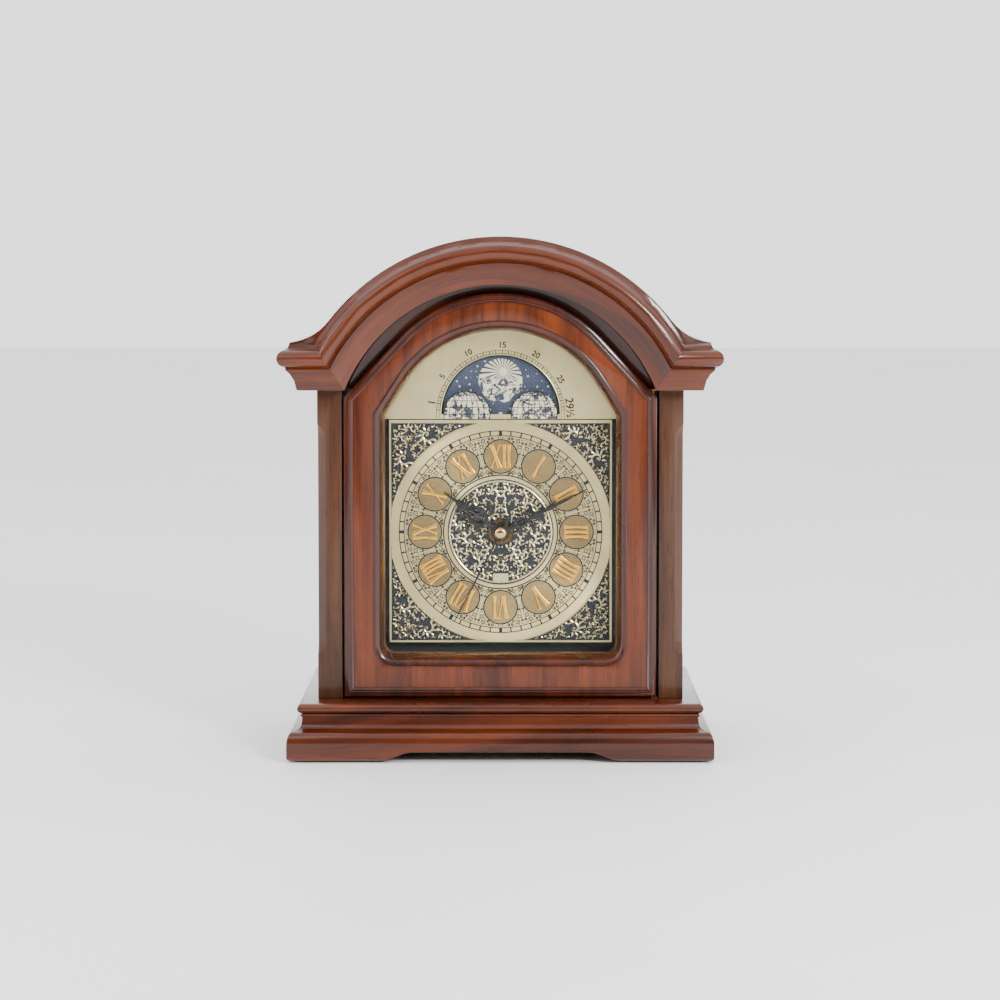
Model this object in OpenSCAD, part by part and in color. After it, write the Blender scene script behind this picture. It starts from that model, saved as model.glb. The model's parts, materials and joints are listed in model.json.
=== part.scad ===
// Break-arch mantel clock with a moon-phase dial, a glazed front door and a battery movement.
// Millimetres. +Z is up, the dial faces -Y, and the origin is the middle of the footprint.

/* [Case] */
// Width across the outer faces of the two pilasters
case_w = 211.6; // [176:0.1:260]
// Depth of the whole clock, plinth front to plinth back
depth = 130; // [108:1:160]
// Height of a pilaster, from the base board to the underside of the hood
pilaster_h = 179.6; // [179:0.1:216]
// Width of a pilaster
pilaster_w = 14.1; // [11:0.1:17]
// Depth of a pilaster
pilaster_d = 16; // [14.5:0.5:19]
// Thickness of the side panels
side_t = 8; // [6:0.5:10]
// Thickness of the roof panel
roof_t = 6; // [4:0.5:8]

/* [Base] */
// Height of the moulded plinth
plinth_h = 26.4; // [26.4:0.1:34]
// Thickness of the base board on top of the plinth
base_board_t = 5.6; // [4.6:0.1:8]
// Width of the plinth mouldings, front to back
plinth_w = 20; // [17:0.5:24]
// Thickness of the felt feet
felt_t = 1; // [0.8:0.1:2]
// Radius of the felt feet
felt_r = 7; // [5.8:0.2:8.4]
// Height of the arched cut in the plinth front
plinth_cut_h = 5.3; // [4:0.1:6.4]

/* [Hood] */
// How far the ear underside is above the arch centre
arch_drop = 35.7; // [28.6:0.1:41]
// Height of the hood moulding
hood_h = 27.5; // [27.5:0.1:33]
// Radius of the blend from the arch down to the ear
hood_fillet_r = 32; // [27:1:36]

/* [Front door] */
// Gap at each side of the front door
door_gap = 1.4; // [1.4:0.1:1.7]
// Width of the door stiles, door edge to glass opening
door_stile = 22.9; // [19:0.1:27]
// Thickness of the flat door frame
door_frame_t = 11.4; // [9.5:0.1:13.6]
// Thickness of the door glass
glass_t = 2; // [1.7:0.1:2.4]
// Radius of the door pivots and hinge pins
hinge_pin_r = 0.7; // [0.58:0.01:0.84]

/* [Dial] */
// Gap between the glass opening and the dial plate
dial_margin = 2.1; // [1.7:0.1:2.5]
// Thickness of the dial plate
dial_t = 0.8; // [0.6:0.1:1]
// Thickness of the wooden dial board
dial_board_t = 3; // [2.5:0.5:3.5]
// Length of the pillars between dial board and dial plate
pillar_l = 6; // [5:0.5:7.2]
// Radius of the moon aperture
moon_window_r = 34.8; // [29:0.1:36]
// Radius of the painted moon disc
moon_disc_r = 34; // [28.4:0.1:38]
// Length of the hour hand
hour_hand_l = 41.1; // [34:0.1:49]
// Length of the minute hand
minute_hand_l = 57.2; // [48:0.1:62]
// Length of the second hand
second_hand_l = 58.5; // [49:0.1:62]

/* [Movement] */
// Half width of the movement housing
shell_half_w = 29; // [28.6:0.1:34]
// Wall of the movement housing
shell_t = 1.5; // [1.3:0.1:1.8]
// Thickness of every gear
gear_t = 1.5; // [1.25:0.05:1.75]
// Space between two gear layers
gear_gap = 0.5; // [0.4:0.05:0.6]
// Radius of the seconds arbor
second_arbor_r = 0.55; // [0.46:0.01:0.66]
// Wall of the cannon tube and of the hour tube
tube_wall = 1; // [0.84:0.02:1.2]
// Radius of the fixed posts that carry the wheels
post_r = 0.8; // [0.67:0.01:0.96]
// Radius of the battery
battery_r = 7.25; // [7:0.05:7.5]
// Length of the battery
battery_l = 50.5; // [48:0.1:52]

/* [Back] */
// Width of the rear door
rear_door_w = 130; // [108:1:156]
// Height of the rear door
rear_door_h = 156; // [130:1:170]
// Thickness of the rear frame and the rear door
rear_t = 7; // [5:0.5:8.4]

/* [Hidden] */
$fn = 48;
joint_gap = 0.3;    // free space between pieces of different bodies
bore_gap = 0.05;    // radial clearance of a pin in its bore
big = 400;          // longer than the clock in any direction

// Case, worked out from the sizes above
half_w = case_w / 2;
front_y = -depth / 2 + 24;              // front plane of the pilasters
back_y = depth / 2 - 8;                 // back plane of the case
plinth_half_w = half_w + 16.5;
plinth_top = felt_t + plinth_h;
floor_z = plinth_top + base_board_t;    // top of the base board
ear_z = floor_z + pilaster_h;           // underside of the hood
ear_top = ear_z + hood_h;
inner_half_w = half_w - side_t;
arch_half = half_w - pilaster_w - 2.4;
arch_z = ear_z - arch_drop;
arch_in_r = sqrt(arch_half * arch_half + arch_drop * arch_drop);
arch_out_r = arch_in_r + hood_h;
roof_in_r = arch_out_r - roof_t - 2.5;
wall_top = ear_top - roof_t - 2.5;      // top of the side panels
fascia_back = front_y + pilaster_d;

// Front door
door_half = half_w - pilaster_w - door_gap;
door_face = front_y + 0.1;              // front of the flat frame, behind its mouldings
door_back = door_face + door_frame_t;
pivot_in = 2;                   // pivot's distance from the door's face and from its edge
pivot_x = door_half - pivot_in;
pivot_y = door_face + pivot_in;
pivot_l = 7;                    // length of each pivot bush
bush_r = hinge_pin_r + 0.6;
press_gap = 0.02;                // all round a bush or a nut on its seat
hinge_r = hinge_pin_r + 0.8;
hinge_l = 24;
// An outline is [half width, bottom z, arc radius, arc centre z, shoulder z, bottom corner radius]
door_line = [door_half, floor_z + 1.2, arch_half - 10.1, ear_z - 23.7, ear_z - 4.6, 0];
open_line = [door_half - door_stile, floor_z + 25, arch_half - 24, ear_z - 31.5, ear_z - 15.6, 6.5];

// Dial
dial_half = open_line[0] - dial_margin;
dial_y = front_y + 21;                  // front face of the dial plate
board_y = dial_y + dial_t + pillar_l;   // front face of the dial board
dial_z = floor_z + 94.6;                // centre of the hands
ring_r = dial_half - 1.2;
art = ring_r / 64.1;                    // dial artwork follows the chapter ring
ring_t = 0.6;
relief_t = 0.4;
dial_arch_r = dial_half + 5.7;
ring_in_r = 31.3 * art;

// Movement: layer k is one gear thick, counted from the front wall
shell_y = board_y + dial_board_t;
layer = gear_t + gear_gap;
function layer_y(k) = shell_y + shell_t + gear_gap + k * layer;
cover_y = layer_y(8);
cover_back = cover_y + shell_t;
cannon_r = second_arbor_r + bore_gap * 2 + tube_wall;
hour_tube_r = cannon_r + bore_gap * 2 + tube_wall;
stem_r = hour_tube_r + bore_gap * 2 + 1.15;
battery_drop = 33;
battery_y = layer_y(0) + 0.9 + battery_r;
battery_room = 0.6;

// Gear train: teeth, modules and centre distances
leaf = 12;
m_motion = 0.5;
m_hour = 0.4;
m_moon = 0.62;
m_rotor = 0.3;
m_third = 0.27;
m_centre = 0.255;
function centre_distance(m, a, b) = m * (a + b) / 2;
function polar(r, a) = [r * cos(a), r * sin(a)];
// Where two circles meet, on the right of the line from p to q
function meet(p, rp, q, rq) =
    let (d = norm(q - p), a = (rp * rp - rq * rq + d * d) / (2 * d), h = sqrt(rp * rp - a * a),
        e = (q - p) / d)
    p + a * e + h * [e[1], -e[0]];
function bearing(p, q) = atan2(q[1] - p[1], q[0] - p[0]);

// Places in the dial plane, from the centre of the hands
centre_p = [0, 0];
moon_p = [0, 69.2];
minute_p = polar(centre_distance(m_motion, leaf, 36), -50);
knob_p = minute_p + polar(centre_distance(m_motion, 36, leaf), -30);
idler_cd = centre_distance(m_moon, leaf, 24);
idler_1_p = polar(idler_cd, 102);
idler_2_p = idler_1_p + polar(idler_cd, 78);
idler_3_p = meet(idler_2_p, centre_distance(m_moon, leaf, 59),
    moon_p, centre_distance(m_moon, leaf, 72));
third_p = [-centre_distance(m_third, leaf, 90), 0];
middle_p = polar(centre_distance(m_rotor, 72, leaf), 60);
rotor_p = middle_p + [centre_distance(m_rotor, 60, leaf), 0];

// Turn of a gear with nb teeth so that it meshes with one of na teeth turned by turn_a
function mesh(turn_a, na, way, nb) =
    way + 180 - (0.5 - (way - turn_a) * na / 360) * 360 / nb;
minute_turn = mesh(0, leaf, -50, 36);

pressure = 20;
tooth_play = 0.2;
addendum = 0.7;
dedendum = 1.2;
function involute(a) = tan(a) * 180 / PI - a;
function half_tooth(n, m, r) =
    let (base = n * m / 2 * cos(pressure), a = r > base ? acos(base / r) : 0)
    90 / n * (1 - tooth_play) + involute(pressure) - involute(a);
function tooth_radii(n, m) =
    let (r = n * m / 2, root = r - dedendum * m, tip = r + addendum * m)
    n > 30 ? [root, r, tip] : [root, r * cos(pressure), r, tip];
function gear_points(n, m) =
    let (radii = tooth_radii(n, m), last = len(radii) - 1)
    [for (i = [0 : n - 1]) each concat(
        [for (k = [0 : last]) polar(radii[k], i * 360 / n - half_tooth(n, m, radii[k]))],
        [for (k = [last : -1 : 0]) polar(radii[k], i * 360 / n + half_tooth(n, m, radii[k]))])];

// Outline of a door or opening, moved inwards by d: sides, sloping shoulders and a top arc
function line_tilt(o) =
    let (dx = o[0], dz = o[4] - o[3])
    atan2(dz, dx) + acos(o[2] / norm([dx, dz]));
function shoulder_z(o, d) =
    o[3] + (o[2] - d - (o[0] - d) * cos(line_tilt(o))) / sin(line_tilt(o));
function corner_points(o, d) =
    let (w = o[0] - d, z = o[1] + d, r = max(o[5] - d, 0.01), steps = o[5] > 0 ? 6 : 0)
    steps == 0 ? [[w, z]]
    : [for (i = [0 : steps]) [w - r, z + r] + polar(r, -90 + i * 90 / steps)];
function half_line(o, d, n) =
    let (t = line_tilt(o))
    concat(corner_points(o, d), [[o[0] - d, shoulder_z(o, d)]],
        [for (i = [0 : n]) [0, o[3]] + polar(o[2] - d, t + (90 - t) * i / n)]);
function mirrored(points) = [for (i = [len(points) - 2 : -1 : 0]) [-points[i][0], points[i][1]]];
function outline(o, d = 0, n = 12) = concat(half_line(o, d, n), mirrored(half_line(o, d, n)));

// Upper outline of the hood, moved down by d: ear, blend, arch, blend, ear
blend_x = sqrt(pow(arch_out_r + hood_fillet_r, 2) - pow(ear_top + hood_fillet_r - arch_z, 2));
blend_p = [blend_x, ear_top + hood_fillet_r];
blend_a = bearing([0, arch_z], blend_p);
function half_roof(d, n = 8, m = 20) = concat(
    [for (i = [0 : n]) blend_p + polar(hood_fillet_r + d, -90 - (90 - blend_a) * i / n)],
    [for (i = [1 : m]) [0, arch_z] + polar(arch_out_r - d, blend_a + (90 - blend_a) * i / m)]);
function roof_line(d) = concat(half_roof(d), mirrored(half_roof(d)));

// Draws a flat shape in the front view and gives it depth, from y0 at the front to y1
module front(y0, y1) {
    translate([0, y1, 0])
        rotate([90, 0, 0])
            linear_extrude(y1 - y0)
                children();
}
// The same, at a place in the dial plane
module at(p, y0, y1) {
    translate([p[0], 0, dial_z + p[1]])
        front(y0, y1)
            children();
}
module gear(p, k, n, m, turn) {
    at(p, layer_y(k), layer_y(k) + gear_t)
        rotate(turn)
            polygon(gear_points(n, m));
}
module bored(p, r, y0, y1) {
    difference() {
        children();
        at(p, y0 - 1, y1 + 1)
            circle(r);
    }
}
// A ring of moulding round an outline: its section is a closed list of [inwards, y]
module ring_moulding(o, section) {
    rings = [for (s = section) [for (p = outline(o, s[0])) [p[0], s[1], p[1]]]];
    n = len(rings[0]);
    k = len(rings);
    polyhedron(
        points = [for (r = rings) each r],
        faces = [for (i = [0 : k - 1], j = [0 : n - 1])
            let (a = i * n, b = ((i + 1) % k) * n, q = (j + 1) % n)
            each [[a + j, a + q, b + q], [a + j, b + q, b + j]]]);
}

// Base
// Section of the plinth as [inwards, z]: torus, cove and bead
plinth_round = [for (a = [0 : 15 : 90]) [3.3 * (1 - cos(a)), 9 + 7.5 * sin(a)]];
plinth_cove = [for (a = [0 : 15 : 90]) [6.1 + 2.4 * sin(a), 17.3 + 6.2 * (1 - cos(a))]];
plinth_bead = [for (a = [-80 : 20 : 80]) [9 - 1.25 * cos(a), plinth_h - 1.3 + 1.2 * sin(a)]];
plinth_section = concat([[plinth_w, 0], [1.5, 0], [0, 1.5]], plinth_round, [[5.4, 16.8]],
    plinth_cove, plinth_bead, [[9, plinth_h], [plinth_w, plinth_h]]);

module plinth_length(l) {
    rotate([90, 0, 90])
        linear_extrude(l)
            polygon(plinth_section);
}
// Outline of the arched cut: an ogee at each end and a flat top
module plinth_cut() {
    half = 70;
    run = 20;
    right = [for (i = [0 : 8]) [half - run * i / 8, plinth_cut_h * (1 - cos(180 * i / 8)) / 2]];
    polygon(concat([[-half, -1], [half, -1]], right, mirrored(concat(right, [[0, 0]]))));
}
module mitre_front(w, y) {
    translate([0, 0, -1])
        linear_extrude(big)
            polygon([[-w, y], [w, y], [w - 60, y + 60], [60 - w, y + 60]]);
}
module felt_feet() {
    color("darkgreen")
        for (x = [-1, 1], y = [-1, 1])
            translate([x * (plinth_half_w - 11), y * (depth / 2 - 11), 0])
                cylinder(h = felt_t, r = felt_r);
}
module plinth_front() {
    color("saddlebrown")
        difference() {
            intersection() {
                translate([-plinth_half_w, -depth / 2, felt_t])
                    plinth_length(2 * plinth_half_w);
                mitre_front(plinth_half_w, -depth / 2);
            }
            translate([0, 0, felt_t])
                front(-depth / 2 - 1, plinth_w)
                    plinth_cut();
        }
}
module plinth_sides() {
    color("saddlebrown")
        for (s = [0, 1])
            mirror([s, 0, 0])
                difference() {
                    translate([plinth_half_w, -depth / 2, felt_t])
                        rotate(90)
                            plinth_length(depth);
                    mitre_front(plinth_half_w, -depth / 2);
                }
}
module plinth_back() {
    w = plinth_half_w - plinth_w;
    color("saddlebrown")
        translate([-w, depth / 2 - 10, felt_t])
            cube([2 * w, 10, plinth_h]);
}
// Nose of the base board: one edge with a full round, as [across, z]
module nosed_edge(l) {
    r = base_board_t / 2;
    translate([r, r])
        circle(r);
    translate([r, 0])
        square([l - r, base_board_t]);
}
module base_board() {
    nose_w = plinth_half_w - 5.8;
    nose_y = 5.6 - depth / 2;
    back = depth / 2 - 1.6;
    color("maroon")
        intersection() {
            translate([-nose_w, nose_y, plinth_top])
                rotate([90, 0, 90])
                    linear_extrude(2 * nose_w)
                        nosed_edge(back - nose_y);
            for (s = [0, 1])
                mirror([s, 0, 0])
                    translate([-nose_w, back, plinth_top])
                        rotate([90, 0, 0])
                            linear_extrude(back - nose_y)
                                nosed_edge(nose_w);
        }
}

// Case
module pilaster() {
    flat = 4.8 / sqrt(2);       // depth of the chamfer from the sharp corner
    stop_r = 12;
    low = floor_z + 34;
    high = ear_z - 28;
    difference() {
        translate([half_w - pilaster_w, front_y, floor_z])
            cube([pilaster_w, pilaster_d, pilaster_h]);
        translate([half_w, front_y, 0])
            rotate(-45)
                translate([0, 0, low]) {
                    translate([-flat, -10, 0])
                        cube([20, 20, high - low]);
                    for (z = [0, high - low])
                        translate([stop_r - flat, -10, z])
                            rotate([-90, 0, 0])
                                cylinder(h = 20, r = stop_r);
                }
    }
}
module pilaster_left() {
    color("sienna")
        mirror([1, 0, 0])
            pilaster();
}
module pilaster_right() {
    color("sienna")
        pilaster();
}
module side_panel() {
    difference() {
        translate([inner_half_w, fascia_back, floor_z])
            cube([side_t, back_y - rear_t - fascia_back, wall_top - floor_z]);
        back_screw_row(screw_gap);
    }
}
module side_panel_left() {
    color("brown")
        mirror([1, 0, 0])
            side_panel();
}
module side_panel_right() {
    color("brown")
        side_panel();
}

// Hood: section of the moulding as [up, forwards] from its lower back edge
hood_nose = [for (a = [-75 : 15 : 75]) [18.5 + 5 * sin(a), 16.2 + 5 * cos(a)]];
hood_low = [[0, 0], [0, 10.6], [2.5, 11.3], [5.6, 12], [9.5, 14.2], [12.2, 16.9], [12.8, 16.4]];
hood_high = [[23.5, 17], [24.4, 15.5], [hood_h - 0.7, 14.4], [hood_h, 13.7], [hood_h, 0]];
hood_section = concat(hood_low, hood_nose, hood_high);
hood_reach = 21.2;
ear_out = 14.4;

// Everything above the two mitres where the arch meets the ears
module arch_zone() {
    top = sqrt(arch_out_r * arch_out_r - pow(arch_drop + hood_h, 2));
    slope = (top - arch_half) / hood_h;
    low = arch_half - slope * arch_drop;
    far = low + slope * big;
    translate([0, arch_z])
        polygon([[-low, 0], [low, 0], [far, big], [-far, big]]);
}
// Everything in front of the mitres at the two front corners
module front_wedge() {
    translate([0, 0, -1])
        linear_extrude(big)
            polygon([[-half_w - 60, front_y - 60], [half_w + 60, front_y - 60],
                [half_w, front_y], [-half_w, front_y]]);
}
module hood_length(l) {
    rotate([90, 0, 90])
        linear_extrude(l)
            polygon([for (p = hood_section) [-p[1], p[0]]]);
}
module roof_shape(d) {
    polygon(concat(roof_line(d), [[-blend_x, ear_z - 10], [blend_x, ear_z - 10]]));
}
module hood_front_moulding() {
    reach = half_w + hood_reach;
    color("brown") {
        intersection() {
            translate([0, front_y, arch_z])
                rotate([90, 0, 0])
                    rotate([0, 0, 10])
                        rotate_extrude(angle = 160, $fn = 120)
                            polygon([for (p = hood_section) [arch_in_r + p[0], p[1]]]);
            front(front_y - 30, front_y + 1)
                arch_zone();
        }
        difference() {
            intersection() {
                translate([-reach, front_y, ear_z])
                    hood_length(2 * reach);
                front_wedge();
            }
            front(front_y - 30, front_y + 1)
                arch_zone();
        }
        intersection() {
            front(front_y - ear_out, front_y)
                intersection() {
                    difference() {
                        roof_shape(0);
                        roof_shape(6);
                    }
                    translate([-half_w - ear_out, ear_top - 3])
                        square([2 * half_w + 2 * ear_out, 30]);
                }
            front_wedge();
        }
    }
}
module hood_return() {
    difference() {
        translate([half_w, back_y, ear_z])
            rotate([90, 0, 0])
                linear_extrude(back_y - front_y + hood_reach)
                    polygon([for (p = hood_section) [p[1], p[0]]]);
        front_wedge();
    }
}
module hood_return_left() {
    color("brown")
        mirror([1, 0, 0])
            hood_return();
}
module hood_return_right() {
    color("brown")
        hood_return();
}
// Arch board behind the moulding, with a stop lip that overlaps the top of the front door
stop_lip = 4;
module hood_fascia() {
    color("brown")
        difference() {
            front(front_y, fascia_back)
                intersection() {
                    roof_shape(2.5);
                    translate([-half_w, ear_z])
                        square([case_w, big]);
                }
            front(front_y - 1, door_back + joint_gap)
                translate([0, arch_z])
                    circle(arch_in_r, $fn = 120);
            front(front_y - 1, fascia_back + 1)
                polygon(outline(door_line, stop_lip));
        }
}
module roof_panel() {
    color("brown")
        front(fascia_back, back_y - rear_t)
            difference() {
                intersection() {
                    roof_shape(2.5);
                    translate([-half_w, wall_top])
                        square([case_w, big]);
                }
                translate([0, arch_z])
                    circle(roof_in_r, $fn = 120);
            }
}
// Inside of the case seen from the front, smaller all round by d
module case_inside(d) {
    w = inner_half_w - d;
    translate([-w, floor_z + d])
        square([2 * w, wall_top - floor_z - d]);
    intersection() {
        translate([0, arch_z])
            circle(roof_in_r - d, $fn = 120);
        translate([-w, wall_top - 1])
            square([2 * w, big]);
    }
}
rear_door_z = floor_z + 17;
module rear_opening(d) {
    translate([-rear_door_w / 2 - d, rear_door_z - d])
        square([rear_door_w + 2 * d, rear_door_h + 2 * d]);
}
screw_gap = 0.05;
screw_head_r = 2.8;
screw_shank_r = 1.4;
screw_l = 18;
// One countersunk screw driven towards -Y from the back of the case, grown by gap all round
module back_screw(gap) {
    rotate([90, 0, 0]) {
        cylinder(h = screw_l, r = screw_shank_r + gap);
        cylinder(h = 1.6, r1 = screw_head_r + gap, r2 = screw_shank_r + gap);
    }
}
// Screws of the right side
module back_screw_row(gap) {
    for (z = [floor_z + 12, floor_z + 96, ear_z - 4])
        translate([half_w - side_t / 2, back_y, z])
            back_screw(gap);
}
module back_frame() {
    color("sienna")
        difference() {
            front(back_y - rear_t, back_y)
                difference() {
                    union() {
                        intersection() {
                            roof_shape(2.5);
                            translate([-half_w, ear_z])
                                square([case_w, big]);
                        }
                        translate([-half_w, floor_z])
                            square([case_w, pilaster_h]);
                    }
                    rear_opening(0.8);
                }
            for (s = [0, 1])
                mirror([s, 0, 0])
                    back_screw_row(screw_gap);
        }
}
module case_screws() {
    color("goldenrod")
        for (s = [0, 1])
            mirror([s, 0, 0])
                back_screw_row(0);
}

// Front door: a pin below and a pin above turn in bushes let into the stile's two ends
pivot_plate_t = 0.6;
door_foot = door_line[1];
door_ledge = door_line[4];
module pivot_plate() {
    translate([pivot_x - 0.9, pivot_y - 0.9, 0])
        cube([0.9 + pivot_in + door_gap - 0.3, 9, pivot_plate_t]);
}
module pivot_pin(z0, z1) {
    translate([pivot_x, pivot_y, z0])
        cylinder(h = z1 - z0, r = hinge_pin_r);
}
module pivot_bushes(r, more = 0) {
    for (z = [door_foot - more, door_ledge - pivot_l - 0.2])
        translate([pivot_x, pivot_y, z])
            cylinder(h = pivot_l + 0.2 + more, r = r);
}
// Rear door: butt hinges, each with an upright pin
rear_hinge_x = rear_door_w / 2 + 0.4;
rear_hinge_y = back_y + hinge_r + 0.2;
rear_hinge_z = [rear_door_z + 20, rear_door_z + rear_door_h - 44];
knuckle_gap = 0.1;
// Knuckle parts: the case holds both ends and the pin, the door holds the middle
module case_knuckles() {
    part = hinge_l / 3;
    cylinder(h = hinge_l, r = hinge_pin_r);
    for (z = [0, hinge_l - part + knuckle_gap])
        translate([0, 0, z])
            cylinder(h = part - knuckle_gap, r = hinge_r);
}
module door_knuckle() {
    part = hinge_l / 3;
    translate([0, 0, part + knuckle_gap])
        difference() {
            cylinder(h = part - 2 * knuckle_gap, r = hinge_r);
            translate([0, 0, -1])
                cylinder(h = part + 2, r = hinge_pin_r + bore_gap);
        }
}
leaf_t = 0.55;
// Front pivot plates and pins, and the rear leaves that reach sideways along the frame
module case_hinge_leaves() {
    part = hinge_l / 3;
    color("gold") {
        translate([0, 0, floor_z])
            pivot_plate();
        pivot_pin(floor_z, door_foot + pivot_l - 1);
        translate([0, 0, ear_z - pivot_plate_t])
            pivot_plate();
        pivot_pin(door_ledge - pivot_l + 1, ear_z - pivot_plate_t / 2);
        for (z = rear_hinge_z)
            translate([rear_hinge_x, rear_hinge_y, z]) {
                case_knuckles();
                for (k = [0, hinge_l - part + knuckle_gap])
                    translate([0, -hinge_r - 0.2, k])
                        cube([10, leaf_t, part - knuckle_gap]);
                translate([hinge_r + 0.4, -hinge_r - 0.2, 0])
                    cube([10 - hinge_r - 0.4, leaf_t, hinge_l]);
                for (k = [0, hinge_l - part + knuckle_gap])
                    translate([-0.3, -hinge_r - 0.2, k])
                        cube([0.6, hinge_r, part - knuckle_gap]);
            }
    }
}
module door_hinge_leaves() {
    color("gold")
        difference() {
            pivot_bushes(bush_r);
            translate([pivot_x, pivot_y, door_foot - 1])
                cylinder(h = door_ledge - door_foot + 2, r = hinge_pin_r + bore_gap);
        }
}
module rear_hinge_leaves() {
    part = hinge_l / 3;
    color("gold")
        for (z = rear_hinge_z)
            translate([rear_hinge_x, rear_hinge_y, z]) {
                door_knuckle();
                translate([-10, -hinge_r - 0.2, part + knuckle_gap])
                    cube([9.7, leaf_t, part - 2 * knuckle_gap]);
                translate([-10, -hinge_r - 0.2, 0])
                    cube([10 - hinge_r - 0.4, leaf_t, hinge_l]);
                difference() {
                    translate([-hinge_r, -hinge_r - 0.2, part + knuckle_gap])
                        cube([0.8, hinge_r, part - 2 * knuckle_gap]);
                    cylinder(h = hinge_l, r = hinge_pin_r + bore_gap);
                }
            }
}

// Magnetic catches: the front one behind the left stile, the rear one inside the rear frame
catch_z = floor_z + 85;
strike_t = 0.8;
module door_catches() {
    color("dimgray") {
        translate([pilaster_w - half_w, door_back + joint_gap, catch_z])
            cube([9, 6, 20]);
        translate([-rear_door_w / 2 - 8, back_y - rear_t - 8, catch_z])
            cube([16, 8, 20]);
    }
}
module strike_plate() {
    color("silver")
        translate([-door_half + 2, door_back - strike_t, catch_z + 2])
            cube([6, strike_t, 16]);
}

// Front door
glass_y = door_face + 8;        // front face of the glass
lining = 3;                     // how far the frame stands back from the visible opening
glass_play = 0.4;
module flat_outline(o, d) {
    polygon(outline(o, d));
}
module door_frame() {
    color("brown")
        difference() {
            front(door_face, door_back)
                difference() {
                    flat_outline(door_line, 0);
                    flat_outline(open_line, -lining);
                }
            translate([-door_half + 2, door_back - strike_t, catch_z + 2])
                cube([6, strike_t + 1, 16]);
            pivot_bushes(bush_r + press_gap, 1);
            translate([pivot_x, pivot_y, door_ledge - 1])
                cylinder(h = 7, r = bush_r + press_gap);
        }
}
module door_outer_moulding() {
    color("maroon")
        ring_moulding(door_line, [for (s = [[0, 0], [0, -0.5], [2.9, -1.5], [3.2, -1.1],
            [3.6, -1.5], [4.2, -1.5], [4.5, -1.1], [5.2, -0.6], [5.3, 0]])
            [s[0], door_face + s[1]]]);
}
module door_inner_moulding() {
    seat = glass_y - door_face;
    color("maroon")
        ring_moulding(open_line, [for (s = [[0, seat], [0, 5.4], [-0.7, 3.6], [-1.5, 1.9],
            [-2.4, 0.3], [-3.4, -0.6], [-4.3, -1], [-5.2, -1.3], [-5.8, -1], [-6, 0],
            [-lining, 0], [-lining, seat]])
            [s[0], door_face + s[1]]]);
}
module door_glass() {
    color("lightcyan", 0.3)
        front(glass_y, glass_y + glass_t)
            flat_outline(open_line, glass_play - lining);
}
module glass_retainer() {
    color("sienna")
        front(glass_y + glass_t, door_back)
            difference() {
                flat_outline(open_line, -lining);
                flat_outline(open_line, 0.2);
            }
}

// Dial board, pillars and plates
board_play = 0.2;
module board_shape() {
    difference() {
        case_inside(board_play);
        translate([0, dial_z]) {
            circle(stem_r + 0.2);
            translate(moon_p)
                circle(3.6);
        }
    }
}
module dial_board() {
    color("darkslategray")
        front(board_y, board_y + dial_board_t)
            board_shape();
}
pillar_r = 2.5;
pillar_x = dial_half - 6;
pillar_low = -dial_half + 7;
pillar_high = dial_half - 7;
module dial_pillars() {
    color("goldenrod")
        for (x = [-1, 1]) {
            for (z = [pillar_low, pillar_high])
                at([x * pillar_x, z], dial_y + dial_t, board_y)
                    circle(pillar_r);
            at([x * (moon_disc_r + 16), moon_p[1] + 15], dial_y + dial_t, board_y)
                circle(pillar_r);
        }
}
moon_z = dial_z + moon_p[1];
globe_r = 13.6;
globe_x = 19.7;
split_z = moon_z - 3.3;         // where the square plate ends and the arched plate begins
module dial_plate() {
    color("wheat")
        front(dial_y, dial_y + dial_t)
            difference() {
                translate([-dial_half, dial_z - dial_half])
                    square([2 * dial_half, split_z - dial_z + dial_half]);
                translate([0, dial_z])
                    circle(stem_r + 0.05);
            }
}
module moon_plate() {
    color("wheat")
        front(dial_y, dial_y + dial_t)
            difference() {
                intersection() {
                    translate([0, split_z - 14])
                        circle(dial_arch_r);
                    translate([-big, split_z + 0.6])
                        square([2 * big, big]);
                }
                difference() {
                    intersection() {
                        translate([0, moon_z])
                            circle(moon_window_r);
                        translate([-big, moon_z])
                            square([2 * big, big]);
                    }
                    for (x = [-globe_x, globe_x])
                        translate([x, moon_z])
                            circle(globe_r);
                }
            }
}
tab_w = 17;
module chapter_ring() {
    color("cornsilk")
        at(centre_p, dial_y - ring_t, dial_y)
            difference() {
                union() {
                    circle(ring_r);
                    for (a = [0 : 90 : 270])
                        rotate(a)
                            translate([-tab_w / 2, 0])
                                square([tab_w, ring_r + 0.8]);
                }
                circle(ring_in_r);
            }
}
// One stroke of a numeral, upright, centred at x and leaning over by lean at its top
numeral_h = 14.3 * art;
module stroke(x, w, lean = 0) {
    h = numeral_h / 2;
    polygon([[x - w / 2 - lean, -h], [x + w / 2 - lean, -h], [x + w / 2 + lean, h],
        [x - w / 2 + lean, h]]);
}
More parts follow.
